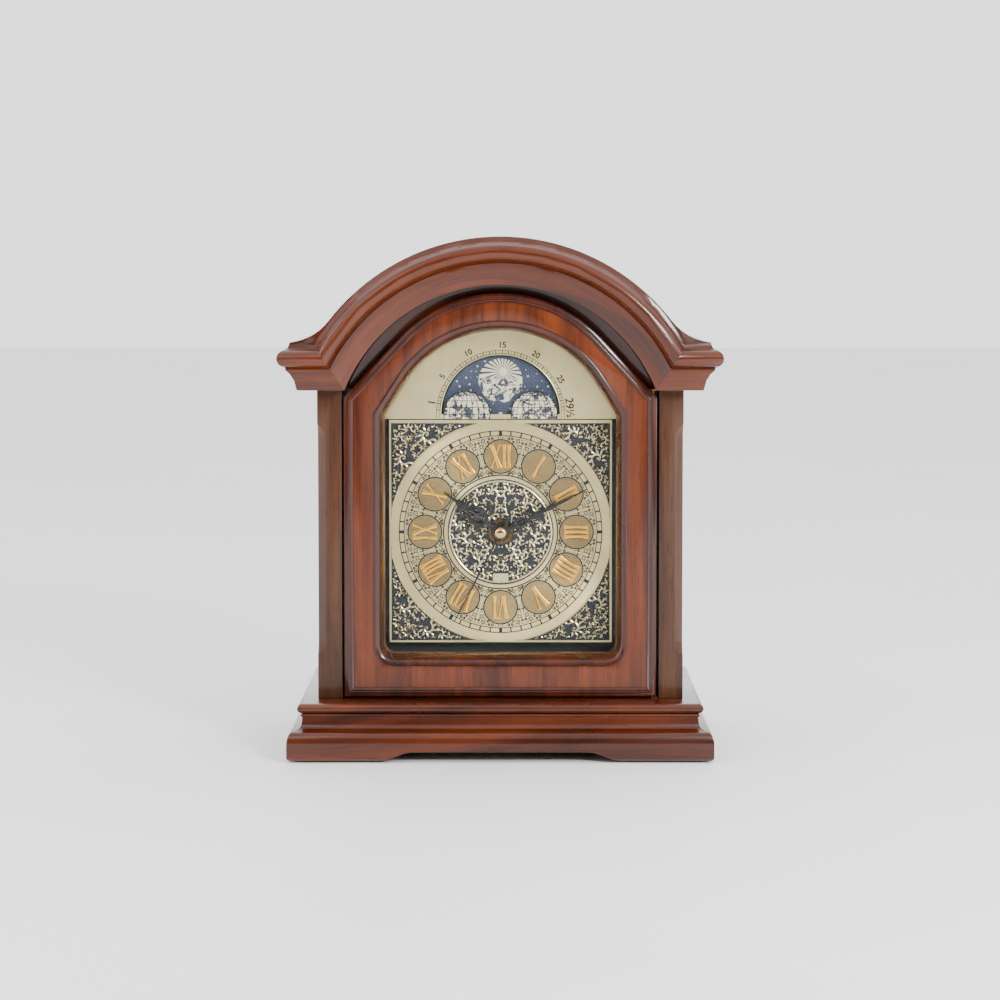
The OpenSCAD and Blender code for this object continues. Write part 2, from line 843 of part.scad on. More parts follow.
// Width of each letter and its shape; I, V and X only
function letter_w(c) = (c == "I" ? 2.6 : 5.6) * art;
module letter(c, x) {
    thick = 1.5 * art;
    thin = 0.7 * art;
    lean = 1.6 * art;
    if (c == "I")
        stroke(x, thick);
    if (c == "V") {
        stroke(x - lean / 2 - 0.3 * art, thick, -lean / 2);
        stroke(x + lean / 2 + 0.3 * art, thin, lean / 2);
    }
    if (c == "X") {
        stroke(x, thick, -lean);
        stroke(x, thin, lean);
    }
}
hours = ["I", "II", "III", "IIII", "V", "VI", "VII", "VIII", "IX", "X", "XI", "XII"];
numeral_r = 44.5 * art;
function width_to(s, n) = n == 0 ? 0 : letter_w(s[n - 1]) + width_to(s, n - 1);
module numerals() {
    color("gold")
        at(centre_p, dial_y - ring_t - relief_t, dial_y - ring_t)
            for (i = [0 : 11])
                rotate(-30 * (i + 1))
                    translate([0, numeral_r])
                        for (k = [0 : len(hours[i]) - 1])
                            letter(hours[i][k], width_to(hours[i], k)
                                + letter_w(hours[i][k]) / 2
                                - width_to(hours[i], len(hours[i])) / 2);
}
module spandrels() {
    edge = 3;
    color("gold")
        at(centre_p, dial_y - relief_t, dial_y)
            difference() {
                translate([edge - dial_half, edge - dial_half])
                    square([2 * dial_half - 2 * edge, 2 * dial_half - 2 * edge - 2]);
                circle(ring_r + 1.4);
                for (a = [0 : 90 : 270])
                    rotate(a)
                        translate([-tab_w / 2 - 1, 0])
                            square([tab_w + 2, big]);
            }
}
module centre_medallion() {
    color("gold")
        at(centre_p, dial_y - relief_t, dial_y)
            difference() {
                circle(ring_in_r - 0.2);
                circle(stem_r + 0.05);
            }
}

// Heights along the centre, from the dial forwards
nut_t = 2.4;
hand_t = 0.6;
stem_end = dial_y - relief_t - nut_t - 0.3;
hour_hand_y = stem_end - 0.4 - hand_t;
minute_hand_y = hour_hand_y - 1 - hand_t;
second_hand_y = minute_hand_y - 1.2;
cap_r = 3.6;
cap_h = 2;
cap_flat = 0.4;
hour_at = -305.4;
minute_at = -63.1;
second_at = -208;

module rounded(x0, z0, x1, z1, r) {
    translate([x0 + r, z0])
        square([x1 - x0 - 2 * r, z1 - z0]);
    translate([x0, z0 + r])
        square([x1 - x0, z1 - z0 - 2 * r]);
    for (x = [x0 + r, x1 - r], z = [z0 + r, z1 - r])
        translate([x, z])
            circle(r);
}
shell_low = -battery_drop - battery_r - 0.4 - shell_t;
shell_high = moon_p[1] + 24.6;
module shell_outline(d) {
    rounded(-shell_half_w + d, shell_low + d, shell_half_w - d, shell_high - d, 4 - d);
}
module tube(p, r, r_in, y0, y1) {
    at(p, y0, y1)
        difference() {
            circle(r);
            circle(r_in);
        }
}
module post(p, y0, y1) {
    at(p, y0, y1)
        circle(post_r);
}
module movement_front_shell() {
    inside = shell_y + shell_t;
    rib_z = -battery_drop + battery_r + battery_room;
    color("darkslategray") {
        difference() {
            at(centre_p, shell_y, cover_y)
                shell_outline(0);
            at(centre_p, inside, cover_y + 1)
                shell_outline(shell_t);
            at(centre_p, shell_y - 1, inside + 1)
                circle(hour_tube_r + bore_gap);
            at(moon_p, shell_y - 1, inside + 1)
                circle(1.25);
        }
        tube(centre_p, stem_r, hour_tube_r + bore_gap, stem_end, shell_y);
        tube(moon_p, 3.5, 1.25, board_y + 0.2, shell_y);
        at([0, rib_z], inside, cover_y - 0.2)
            translate([-shell_half_w + shell_t, 0])
                square([2 * (shell_half_w - shell_t), 1.2]);
        post(minute_p, inside, layer_y(3) + gear_t);
        post(idler_1_p, inside, layer_y(1) + gear_t);
        post(idler_2_p, inside, layer_y(2) + gear_t);
        post(idler_3_p, inside, layer_y(2) + gear_t);
    }
}
stator_y = layer_y(5) + 0.8;
stator_t = 1.6;
circuit_y = layer_y(7) - 0.3;
knob_arbor_r = 1.5;
module movement_rear_cover() {
    half = battery_l / 2 + battery_room;
    color("darkslategray") {
        at(centre_p, cover_y, cover_back)
            difference() {
                shell_outline(0);
                translate([-half, -battery_drop - battery_r - 0.4])
                    square([2 * half, 2 * battery_r + 0.4 + battery_room]);
                translate(knob_p)
                    circle(knob_arbor_r + bore_gap);
                circle(second_arbor_r + bore_gap);
            }
        post(third_p, layer_y(4), cover_y);
        post(middle_p, layer_y(6), cover_y);
        post(rotor_p, layer_y(5), cover_y);
        for (x = [-15, 15], z = [42, 56])
            at([x, z], circuit_y + 1, cover_y)
                circle(1);
        for (x = [-13, 18])
            at([x, 32.5], stator_y + stator_t, cover_y)
                circle(1);
    }
}
module centre_nut() {
    color("gold")
        difference() {
            union() {
                at(centre_p, dial_y - relief_t - 0.6, dial_y - relief_t)
                    circle(7.2);
                at(centre_p, dial_y - relief_t - nut_t, dial_y - relief_t - 0.6)
                    circle(5.6, $fn = 6);
            }
            at(centre_p, stem_end - 1, dial_y)
                circle(stem_r + press_gap);
        }
}
module circuit_board() {
    color("seagreen")
        at([0, 49], circuit_y, circuit_y + 1)
            square([36, 18], center = true);
    color("silver")
        translate([-3, circuit_y - 1, dial_z + 44])
            rotate([0, 90, 0])
                cylinder(h = 6.2, r = 1);
    color("black")
        at([0, 51], circuit_y - 1.2, circuit_y)
            square([7, 5], center = true);
}
coil_z = 30;
coil_r = 3.6;
module stator() {
    color("silver")
        at(centre_p, stator_y, stator_y + stator_t)
            difference() {
                union() {
                    translate([13, 6])
                        square([9, 28]);
                    translate([-16, 20])
                        square([6, 14]);
                    translate([-16, 20])
                        square([28.6, 3]);
                    translate([-12, coil_z - 1])
                        square([26, 2]);
                }
                translate(rotor_p)
                    circle(3.6);
            }
}
module coil() {
    color("chocolate")
        difference() {
            translate([-9, stator_y + stator_t / 2, dial_z + coil_z])
                rotate([0, 90, 0])
                    cylinder(h = 21, r = coil_r);
            at([-10, coil_z - 1.1], stator_y - 0.1, stator_y + stator_t + 0.1)
                square([23, 2.2]);
        }
}
module battery_contacts() {
    x = battery_l / 2 + joint_gap;
    color("silver")
        for (s = [0, 1])
            mirror([s, 0, 0]) {
                at([x, -battery_drop - 5], -5, 5)
                    square([0.6, 10]);
                at([x, -battery_drop - 5], -5, 5)
                    square([shell_half_w - shell_t - x, 0.8]);
            }
}

// Hands
module hand_shape(l, w, boss, bore) {
    difference() {
        union() {
            circle(boss);
            polygon([[w * 0.4, 0], [w, l * 0.6], [0, l], [-w, l * 0.6], [-w * 0.4, 0]]);
        }
        circle(bore);
    }
}
module hour_hand() {
    color("black")
        at(centre_p, hour_hand_y, hour_hand_y + hand_t)
            rotate(hour_at)
                hand_shape(hour_hand_l, 4, 5.4, hour_tube_r);
}
module minute_hand() {
    color("black")
        at(centre_p, minute_hand_y, minute_hand_y + hand_t)
            rotate(minute_at)
                hand_shape(minute_hand_l, 3, 4.4, cannon_r);
}
module second_hand() {
    color("black")
        at(centre_p, second_hand_y, second_hand_y + 0.4)
            rotate(second_at)
                difference() {
                    union() {
                        circle(cap_r + 0.4);
                        translate([-0.5, -13])
                            square([1, 13 + second_hand_l]);
                    }
                    circle(second_arbor_r);
                }
    color("gold")
        translate([0, second_hand_y, dial_z])
            rotate([90, 0, 0])
                rotate_extrude()
                    polygon(concat([[0, 0]],
                        [for (a = [0 : 15 : 75]) [cap_r * cos(a), cap_h * sin(a)]],
                        [[cap_flat, cap_h], [0, cap_h]]));
}

// Wheels on the centre line
module hour_wheel() {
    color("white")
        bored(centre_p, cannon_r + bore_gap, hour_hand_y - 1, layer_y(3)) {
            gear(centre_p, 2, 48, m_hour, mesh(0, leaf, 130, 48));
            gear(centre_p, 1, leaf, m_moon, 0);
            at(centre_p, hour_hand_y - 0.2, layer_y(2) + gear_t)
                circle(hour_tube_r);
        }
}
module cannon_pinion() {
    color("gold")
        bored(centre_p, second_arbor_r + bore_gap, minute_hand_y - 1, layer_y(5)) {
            gear(centre_p, 3, leaf, m_motion, 0);
            at(centre_p, minute_hand_y - 0.2, layer_y(4) + gear_t)
                circle(cannon_r);
        }
}
module seconds_wheel() {
    color("white") {
        gear(centre_p, 5, leaf, m_third, 0);
        gear(centre_p, 6, 72, m_rotor, 0);
        at(centre_p, layer_y(5), layer_y(6))
            circle(1.2);
        at(centre_p, second_hand_y, cover_back - 0.3)
            circle(second_arbor_r);
    }
}
module centre_wheel() {
    color("gold")
        bored(centre_p, cannon_r + bore_gap, layer_y(4) - 1, layer_y(5))
            gear(centre_p, 4, 96, m_centre, mesh(0, leaf, 0, 96));
}

// A wheel and a pinion on one hub: layers, teeth and modules, with the turn of each
module compound(p, hub, wheel, pinion) {
    low = min(wheel[0], pinion[0]);
    high = max(wheel[0], pinion[0]);
    bored(p, post_r + bore_gap, layer_y(low) - 1, layer_y(high) + gear_t + 1) {
        gear(p, wheel[0], wheel[1], wheel[2], wheel[3]);
        gear(p, pinion[0], pinion[1], pinion[2], pinion[3]);
        at(p, layer_y(low), layer_y(high) + gear_t)
            circle(hub);
    }
}
module minute_wheel() {
    color("white")
        compound(minute_p, 1.8, [3, 36, m_motion, minute_turn], [2, leaf, m_hour, 0]);
}
module moon_idler_1() {
    color("white")
        compound(idler_1_p, 2.6, [1, 24, m_moon, mesh(0, leaf, 102, 24)], [0, leaf, m_moon, 0]);
}
module moon_idler_2() {
    color("white")
        compound(idler_2_p, 2.4, [0, 24, m_moon, mesh(0, leaf, 78, 24)], [2, leaf, m_moon, 0]);
}
module moon_idler_3() {
    way = bearing(idler_2_p, idler_3_p);
    color("white")
        compound(idler_3_p, 2.6, [2, 59, m_moon, mesh(0, leaf, way, 59)], [1, leaf, m_moon, 0]);
}
module third_wheel() {
    color("white")
        compound(third_p, 1.15, [5, 90, m_third, mesh(0, leaf, 180, 90)], [4, leaf, m_centre, 0]);
}
module intermediate_wheel() {
    color("white")
        compound(middle_p, 1.3, [7, 60, m_rotor, 0], [6, leaf, m_rotor, mesh(0, 72, 60, leaf)]);
}
module rotor() {
    color("dimgray")
        bored(rotor_p, post_r + bore_gap, layer_y(5) - 1, cover_y) {
            gear(rotor_p, 7, leaf, m_rotor, mesh(0, 60, 0, leaf));
            at(rotor_p, layer_y(5), layer_y(6) + gear_t)
                circle(3);
            at(rotor_p, layer_y(6), layer_y(7) + gear_t)
                circle(1.3);
        }
}
moon_arbor_r = 1.2;
moon_disc_y = dial_y + dial_t + 1.8;
moon_disc_t = 0.6;
module moon_wheel() {
    color("white") {
        gear(moon_p, 1, 72, m_moon, mesh(0, leaf, bearing(idler_3_p, moon_p), 72));
        at(moon_p, moon_disc_y, layer_y(1) + gear_t)
            circle(moon_arbor_r);
    }
}
module moon_disc() {
    color("midnightblue")
        at(moon_p, moon_disc_y, moon_disc_y + moon_disc_t)
            difference() {
                circle(moon_disc_r);
                circle(moon_arbor_r);
            }
}
knob_r = 7;
module set_knob() {
    color("dimgray") {
        gear(knob_p, 3, leaf, m_motion, mesh(minute_turn, 36, -30, leaf));
        at(knob_p, layer_y(3), cover_back + joint_gap + 4)
            circle(knob_arbor_r);
        at(knob_p, cover_back + joint_gap, cover_back + joint_gap + 4)
            circle(knob_r);
    }
}
module battery() {
    nub_r = 2.6;
    color("orange")
        translate([-battery_l / 2, battery_y, dial_z - battery_drop])
            rotate([0, 90, 0]) {
                cylinder(h = battery_l - 1.2, r = battery_r);
                cylinder(h = battery_l, r = nub_r);
            }
}

// Rear door with its turned knob
knob_x = 12 - rear_door_w / 2;
module rear_door() {
    color("sienna")
        front(back_y - rear_t + 1, back_y)
            rear_opening(0);
    color("gold")
        translate([knob_x, back_y, rear_door_z + rear_door_h / 2])
            rotate([-90, 0, 0])
                rotate_extrude()
                    polygon([[0, 0], [4.5, 0], [4.5, 0.8], [2, 1.6], [2, 3.2], [4.2, 4.6],
                        [4.6, 5.6], [3.8, 6.8], [0, 7.2]]);
}

felt_feet();
plinth_front();
plinth_sides();
plinth_back();
base_board();
pilaster_left();
pilaster_right();
side_panel_left();
side_panel_right();
hood_fascia();
hood_front_moulding();
hood_return_left();
hood_return_right();
roof_panel();
back_frame();
case_screws();
case_hinge_leaves();
door_catches();
dial_board();
dial_pillars();
dial_plate();
moon_plate();
chapter_ring();
numerals();
spandrels();
centre_medallion();
movement_front_shell();
movement_rear_cover();
centre_nut();
circuit_board();
coil();
stator();
battery_contacts();
door_frame();
door_outer_moulding();
door_inner_moulding();
door_glass();
glass_retainer();
door_hinge_leaves();
strike_plate();
hour_wheel();
hour_hand();
cannon_pinion();
minute_hand();
seconds_wheel();
second_hand();
minute_wheel();
set_knob();
moon_idler_1();
moon_idler_2();
moon_idler_3();
moon_wheel();
moon_disc();
third_wheel();
centre_wheel();
intermediate_wheel();
rotor();
battery();
rear_door();
rear_hinge_leaves();
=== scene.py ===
import json
import math
import random

import bmesh
import bpy
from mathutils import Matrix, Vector

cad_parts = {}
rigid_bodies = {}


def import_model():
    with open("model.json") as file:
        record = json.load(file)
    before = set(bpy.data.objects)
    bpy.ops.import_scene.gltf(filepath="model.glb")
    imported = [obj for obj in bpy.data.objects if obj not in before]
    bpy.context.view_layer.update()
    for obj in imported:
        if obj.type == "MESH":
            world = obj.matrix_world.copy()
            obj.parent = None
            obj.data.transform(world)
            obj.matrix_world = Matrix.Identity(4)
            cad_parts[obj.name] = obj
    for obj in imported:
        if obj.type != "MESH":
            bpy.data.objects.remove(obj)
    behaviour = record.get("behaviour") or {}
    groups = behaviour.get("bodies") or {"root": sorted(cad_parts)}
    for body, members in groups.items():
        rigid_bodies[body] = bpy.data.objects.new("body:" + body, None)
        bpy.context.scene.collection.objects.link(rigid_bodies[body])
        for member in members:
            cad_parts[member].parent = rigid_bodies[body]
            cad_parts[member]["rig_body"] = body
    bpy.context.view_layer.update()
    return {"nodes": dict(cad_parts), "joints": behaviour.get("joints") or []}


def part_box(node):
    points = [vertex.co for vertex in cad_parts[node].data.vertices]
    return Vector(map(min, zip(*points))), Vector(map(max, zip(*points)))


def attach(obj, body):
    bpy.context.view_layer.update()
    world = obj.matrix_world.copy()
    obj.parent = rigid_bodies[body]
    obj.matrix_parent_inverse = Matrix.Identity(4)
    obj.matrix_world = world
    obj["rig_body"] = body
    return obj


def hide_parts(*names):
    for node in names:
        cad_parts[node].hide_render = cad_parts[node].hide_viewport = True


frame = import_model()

MM = 0.001
joint_at = {j["name"]: Vector(j.get("pos_m", (0, 0, 0))) for j in frame["joints"]}
DIAL = joint_at["minute_hand_turn"]     # centre of the hands
MOON = joint_at["moon_disc_turn"]       # centre of the moon disc
ring_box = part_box("chapter_ring")
RING_EDGE = 0.8                         # bevel round the chapter ring
RING_R = (ring_box[1].x - ring_box[0].x) / 2 / MM - RING_EDGE
MEDAL_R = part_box("centre_medallion")[1].x / MM


# ---------------------------------------------------------------- materials
class Nodes:
    """A material's node tree, with short calls for the nodes that are used again and again."""

    def __init__(self, name):
        self.material = bpy.data.materials.new(name)
        self.material.use_nodes = True
        self.tree = self.material.node_tree
        self.shader = self.tree.nodes["Principled BSDF"]

    def add(self, kind, **values):
        node = self.tree.nodes.new(kind)
        for key, value in values.items():
            setattr(node, key, value)
        return node

    def link(self, source, target):
        self.tree.links.new(source, target)

    def fixed(self, **values):
        for key, value in values.items():
            self.shader.inputs[key.replace("_", " ")].default_value = value

    def place(self, scale=(1, 1, 1), offset=(0, 0, 0), source=None):
        if source is None:
            source = self.add("ShaderNodeTexCoord").outputs["Object"]
        mapping = self.add("ShaderNodeMapping")
        mapping.inputs["Scale"].default_value = scale
        mapping.inputs["Location"].default_value = offset
        self.link(source, mapping.inputs["Vector"])
        return mapping.outputs["Vector"]

    def noise(self, vector, scale, detail=3, rough=0.55, warp=0):
        node = self.add("ShaderNodeTexNoise")
        node.inputs["Scale"].default_value = scale
        node.inputs["Detail"].default_value = detail
        node.inputs["Roughness"].default_value = rough
        node.inputs["Distortion"].default_value = warp
        self.link(vector, node.inputs["Vector"])
        return node.outputs["Fac"]

    def ramp(self, value, *stops):
        node = self.add("ShaderNodeValToRGB")
        band = node.color_ramp
        while len(band.elements) < len(stops):
            band.elements.new(0.5)
        for element, (at, colour) in zip(band.elements, stops):
            element.position = at
            element.color = (*colour, 1)
        self.link(value, node.inputs["Fac"])
        return node.outputs["Color"]

    def grey(self, value, *stops):
        return self.ramp(value, *((at, (g, g, g)) for at, g in stops))

    def mix(self, factor, a, b, how="MIX"):
        node = self.add("ShaderNodeMix", data_type="RGBA", blend_type=how)
        for socket, value in ((0, factor), (6, a), (7, b)):
            if isinstance(value, bpy.types.NodeSocket):
                self.link(value, node.inputs[socket])
            elif socket == 0:
                node.inputs[0].default_value = value
            else:
                node.inputs[socket].default_value = (*value, 1)
        return node.outputs[2]

    def math(self, how, a, b=0.0):
        node = self.add("ShaderNodeMath", operation=how)
        for socket, value in enumerate((a, b)):
            if isinstance(value, bpy.types.NodeSocket):
                self.link(value, node.inputs[socket])
            else:
                node.inputs[socket].default_value = value
        return node.outputs[0]

    def bump(self, height, strength, distance):
        node = self.add("ShaderNodeBump")
        node.inputs["Strength"].default_value = strength
        node.inputs["Distance"].default_value = distance
        self.link(height, node.inputs["Height"])
        self.link(node.outputs["Normal"], self.shader.inputs["Normal"])

    def colour(self, socket):
        self.link(socket, self.shader.inputs["Base Color"])

    def roughness(self, socket):
        self.link(socket, self.shader.inputs["Roughness"])


def grain_space(n, along, arch=None):
    """Coordinates with the grain along the third axis. For an arch, the grain follows the curve."""
    coord = n.add("ShaderNodeTexCoord").outputs["Object"]
    split = n.add("ShaderNodeSeparateXYZ")
    n.link(coord, split.inputs[0])
    x, y, z = split.outputs
    join = n.add("ShaderNodeCombineXYZ")
    order = {"x": (y, z, x), "y": (x, z, y), "z": (x, y, z)}[along]
    if arch is None:
        for source, target in zip(order, join.inputs):
            n.link(source, target)
        return join.outputs[0]
    centre_z, inner_r, half, slope = arch
    up = n.math("SUBTRACT", z, centre_z)
    radius = n.math("SQRT", n.math("ADD", n.math("MULTIPLY", x, x), n.math("MULTIPLY", up, up)))
    turn = n.math("MULTIPLY", n.math("ARCTAN2", x, up), inner_r)
    edge = n.math("ADD", n.math("MULTIPLY", up, slope), half)
    ear = n.math("GREATER_THAN", n.math("ABSOLUTE", x), edge)
    arch_part = n.add("ShaderNodeMix", data_type="VECTOR")
    curved = n.add("ShaderNodeCombineXYZ")
    for source, target in zip((y, radius, turn), curved.inputs):
        n.link(source, target)
    for source, target in zip(order, join.inputs):
        n.link(source, target)
    n.link(ear, arch_part.inputs[0])
    n.link(curved.outputs[0], arch_part.inputs[4])
    n.link(join.outputs[0], arch_part.inputs[5])
    return arch_part.outputs[1]


def wood(name, along, light, dark, gloss=0.8, seed=0.0, figure=1.0, arch=None):
    """Stained and varnished mahogany: broad figure, long streaks, short dark pores and a clear coat."""
    n = Nodes(name)
    base = grain_space(n, along, arch)
    seeded = n.place((1, 1, 1), (seed, seed * 0.7, seed * 1.3), base)
    streaks = n.noise(n.place((260, 260, 9), source=seeded), 1, 5, 0.6, 0.35)
    broad = n.noise(n.place((38 * figure, 38 * figure, 5), source=seeded), 1, 4, 0.55, 1.1)
    ripple = n.noise(n.place((30, 30, 70), source=seeded), 1, 2, 0.5, 0.4)
    pores = n.noise(n.place((1500, 1500, 75), source=seeded), 1, 2, 0.5)
    middle = tuple(0.55 * a + 0.45 * b for a, b in zip(light, dark))
    figured = n.ramp(broad, (0.3, dark), (0.48, middle), (0.66, light))
    streaked = n.ramp(streaks, (0.32, (0.42, 0.36, 0.33)), (0.5, (0.86, 0.84, 0.83)), (0.7, (1, 1, 1)))
    shimmer = n.ramp(ripple, (0.3, (0.86, 0.83, 0.8)), (0.7, (1, 1, 1)))
    pored = n.ramp(pores, (0.3, (0.25, 0.2, 0.18)), (0.4, (1, 1, 1)))
    tone = n.mix(0.75, figured, streaked, "MULTIPLY")
    tone = n.mix(0.7, tone, shimmer, "MULTIPLY")
    tone = n.mix(0.6, tone, pored, "MULTIPLY")
    n.colour(tone)
    smudge = n.noise(n.place((22, 22, 22), source=base), 1, 3)
    low = 0.5 - 0.3 * gloss
    n.roughness(n.grey(smudge, (0.3, low), (0.7, low + 0.1)))
    n.bump(n.grey(pores, (0.28, 0), (0.42, 1)), 0.22, 0.00012)
    n.fixed(Coat_Weight=gloss, Coat_Roughness=0.16 - 0.1 * gloss, Coat_IOR=1.36, Specular_IOR_Level=0.2)
    return n.material


def metal(name, light, dark, rough=0.3, brush="x", spun=0.0, fleck=0.4):
    """Brushed or spun metal: fine lines one way, faint clouding, and a little tarnish."""
    n = Nodes(name)
    lines = {"x": (25, 25, 2600), "z": (2600, 25, 25), "round": (900, 900, 900)}[brush]
    fine = n.noise(n.place(lines), 1, 3, 0.6)
    cloud = n.noise(n.place((45, 45, 45)), 1, 4, 0.6)
    tone = n.ramp(cloud, (0.28, dark), (0.6, light))
    lined = n.grey(fine, (0.3, 1 - fleck), (0.7, 1.0))
    n.colour(n.mix(0.5, tone, lined, "MULTIPLY"))
    n.roughness(n.grey(fine, (0.3, rough - 0.05), (0.7, rough + 0.08)))
    n.bump(fine, 0.12, 0.00003)
    n.fixed(Metallic=1.0)
    if spun:
        tangent = n.add("ShaderNodeTangent", direction_type="RADIAL", axis="Y")
        n.link(tangent.outputs[0], n.shader.inputs["Tangent"])
        n.fixed(Anisotropic=spun)
    return n.material


def moulded(name, light, dark, rough=0.45, metallic=0.0, grain=700, coat=0.0):
    """Plastic, enamel, paint or felt: a fine surface grain with a broad change of tone."""
    n = Nodes(name)
    fine = n.noise(n.place((grain, grain, grain)), 1, 3, 0.6)
    cloud = n.noise(n.place((30, 30, 30)), 1, 4, 0.6)
    n.colour(n.ramp(n.math("ADD", n.math("MULTIPLY", cloud, 0.7), n.math("MULTIPLY", fine, 0.3)),
                    (0.3, dark), (0.65, light)))
    n.roughness(n.grey(cloud, (0.3, rough - 0.06), (0.7, rough + 0.08)))
    n.bump(fine, 0.15, 0.00006)
    n.fixed(Metallic=metallic, Coat_Weight=coat, Coat_Roughness=0.1)
    return n.material


RED = ((0.122, 0.0215, 0.0033), (0.028, 0.0042, 0.0009))
BROWN = ((0.085, 0.032, 0.0140), (0.036, 0.0125, 0.0055))
DARK = ((0.075, 0.012, 0.0028), (0.020, 0.0032, 0.0008))
hood_lo, hood_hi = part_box("hood_front_moulding")
hood_top = hood_hi.z
ear_low = hood_lo.z
ARCH_DROP = 0.0357                      # ear underside above the arch centre
HOOD_H = 0.0275
arch_z = ear_low - ARCH_DROP
arch_r = hood_top - arch_z - HOOD_H     # inner radius of the hood moulding
arch_half = math.sqrt(arch_r ** 2 - ARCH_DROP ** 2)
mitre_slope = (math.sqrt((arch_r + HOOD_H) ** 2 - (ARCH_DROP + HOOD_H) ** 2) - arch_half) / HOOD_H
arch = (arch_z, arch_r, arch_half - mitre_slope * ARCH_DROP, mitre_slope)

hood_wood = wood("hood_mahogany", "x", *RED, gloss=0.8, seed=0.3, arch=arch)
return_wood = wood("return_mahogany", "y", *RED, gloss=0.8, seed=0.9)
base_wood = wood("base_mahogany", "x", *RED, gloss=0.85, seed=1.7)
base_side_wood = wood("base_side_mahogany", "y", *RED, gloss=0.85, seed=2.2)
post_wood = wood("pilaster_mahogany", "z", *BROWN, gloss=0.45, seed=3.1)
side_wood = wood("side_mahogany", "z", *RED, gloss=0.7, seed=4.4, figure=0.7)
veneer = wood("door_veneer", "z", (0.175, 0.033, 0.0047), (0.045, 0.0070, 0.0013), gloss=0.7, seed=5.6,
              figure=1.5)
edge_wood = wood("door_moulding_wood", "z", *DARK, gloss=0.85, seed=6.3)
plain_wood = wood("rear_board_wood", "z", (0.33, 0.16, 0.07), (0.16, 0.07, 0.03), gloss=0.3, seed=7.7)
board_paint = moulded("board_black", (0.040, 0.050, 0.050), (0.024, 0.031, 0.031), 0.35, coat=0.3)
felt = moulded("green_felt", (0.04, 0.10, 0.055), (0.015, 0.045, 0.022), 0.95, grain=2600)

plate_gold = metal("plate_pale_gold", (0.86, 0.75, 0.40), (0.76, 0.64, 0.31), 0.38, "z", fleck=0.16)
ring_gold = metal("ring_spun_gold", (0.86, 0.73, 0.38), (0.74, 0.60, 0.28), 0.34, "round", 0.8, 0.12)
disc_gold = metal("cartouche_gold", (0.42, 0.30, 0.135), (0.32, 0.22, 0.09), 0.3, "round", 0.85, 0.12)
numeral_gold = metal("numeral_gold", (1.0, 0.56, 0.10), (0.92, 0.46, 0.07), 0.3, "round", fleck=0.1)
relief_gold = metal("relief_gold", (0.88, 0.77, 0.44), (0.68, 0.55, 0.26), 0.26, "round", fleck=0.3)
brass = metal("polished_brass", (0.88, 0.62, 0.25), (0.72, 0.46, 0.15), 0.16, "round", fleck=0.15)
steel = metal("bright_steel", (0.62, 0.62, 0.60), (0.45, 0.45, 0.44), 0.3, "x")
copper = metal("enamelled_copper", (0.72, 0.30, 0.12), (0.45, 0.16, 0.06), 0.3, "z")
ground = moulded("relief_ground", (0.014, 0.018, 0.028), (0.006, 0.007, 0.011), 0.5)
ink = moulded("dial_ink", (0.008, 0.007, 0.006), (0.003, 0.003, 0.003), 0.6)
# dark bronze used as painted shade round the raised numerals
numeral_painted_shade = moulded("numeral_painted_shade", (0.055, 0.030, 0.010), (0.03, 0.016, 0.006), 0.5)
enamel = moulded("black_enamel", (0.004, 0.004, 0.006), (0.0015, 0.0015, 0.002), 0.3, coat=0.15)
antique_brass = metal("antique_brass", (0.30, 0.18, 0.07), (0.14, 0.08, 0.03), 0.35, "round", fleck=0.3)
aged_brass = metal("aged_brass", (0.20, 0.11, 0.04), (0.06, 0.035, 0.015), 0.3, "round", fleck=0.3)
black_plastic = moulded("black_plastic", (0.035, 0.035, 0.037), (0.018, 0.018, 0.019), 0.5)
white_plastic = moulded("natural_plastic", (0.80, 0.79, 0.74), (0.68, 0.67, 0.62), 0.4)
catch_plastic = moulded("catch_brown", (0.10, 0.06, 0.035), (0.05, 0.03, 0.018), 0.5)
magnet = moulded("sintered_magnet", (0.12, 0.12, 0.125), (0.06, 0.06, 0.065), 0.6, 0.4, 1500)
board_green = moulded("circuit_green", (0.02, 0.17, 0.06), (0.01, 0.10, 0.035), 0.35, coat=0.4)
cream = moulded("moon_cream", (0.80, 0.76, 0.58), (0.70, 0.65, 0.46), 0.5)


def sky_paint():
    n = Nodes("moon_sky")
    cloud = n.noise(n.place((60, 60, 60)), 1, 5, 0.6)
    fine = n.noise(n.place((1800, 1800, 1800)), 1, 2)
    base = n.ramp(cloud, (0.3, (0.030, 0.045, 0.085)), (0.7, (0.052, 0.070, 0.120)))
    n.colour(n.mix(0.25, base, n.grey(fine, (0.3, 0.6), (0.7, 1)), "MULTIPLY"))
    n.roughness(n.grey(fine, (0.3, 0.45), (0.7, 0.6)))
    n.bump(fine, 0.1, 0.00003)
    return n.material


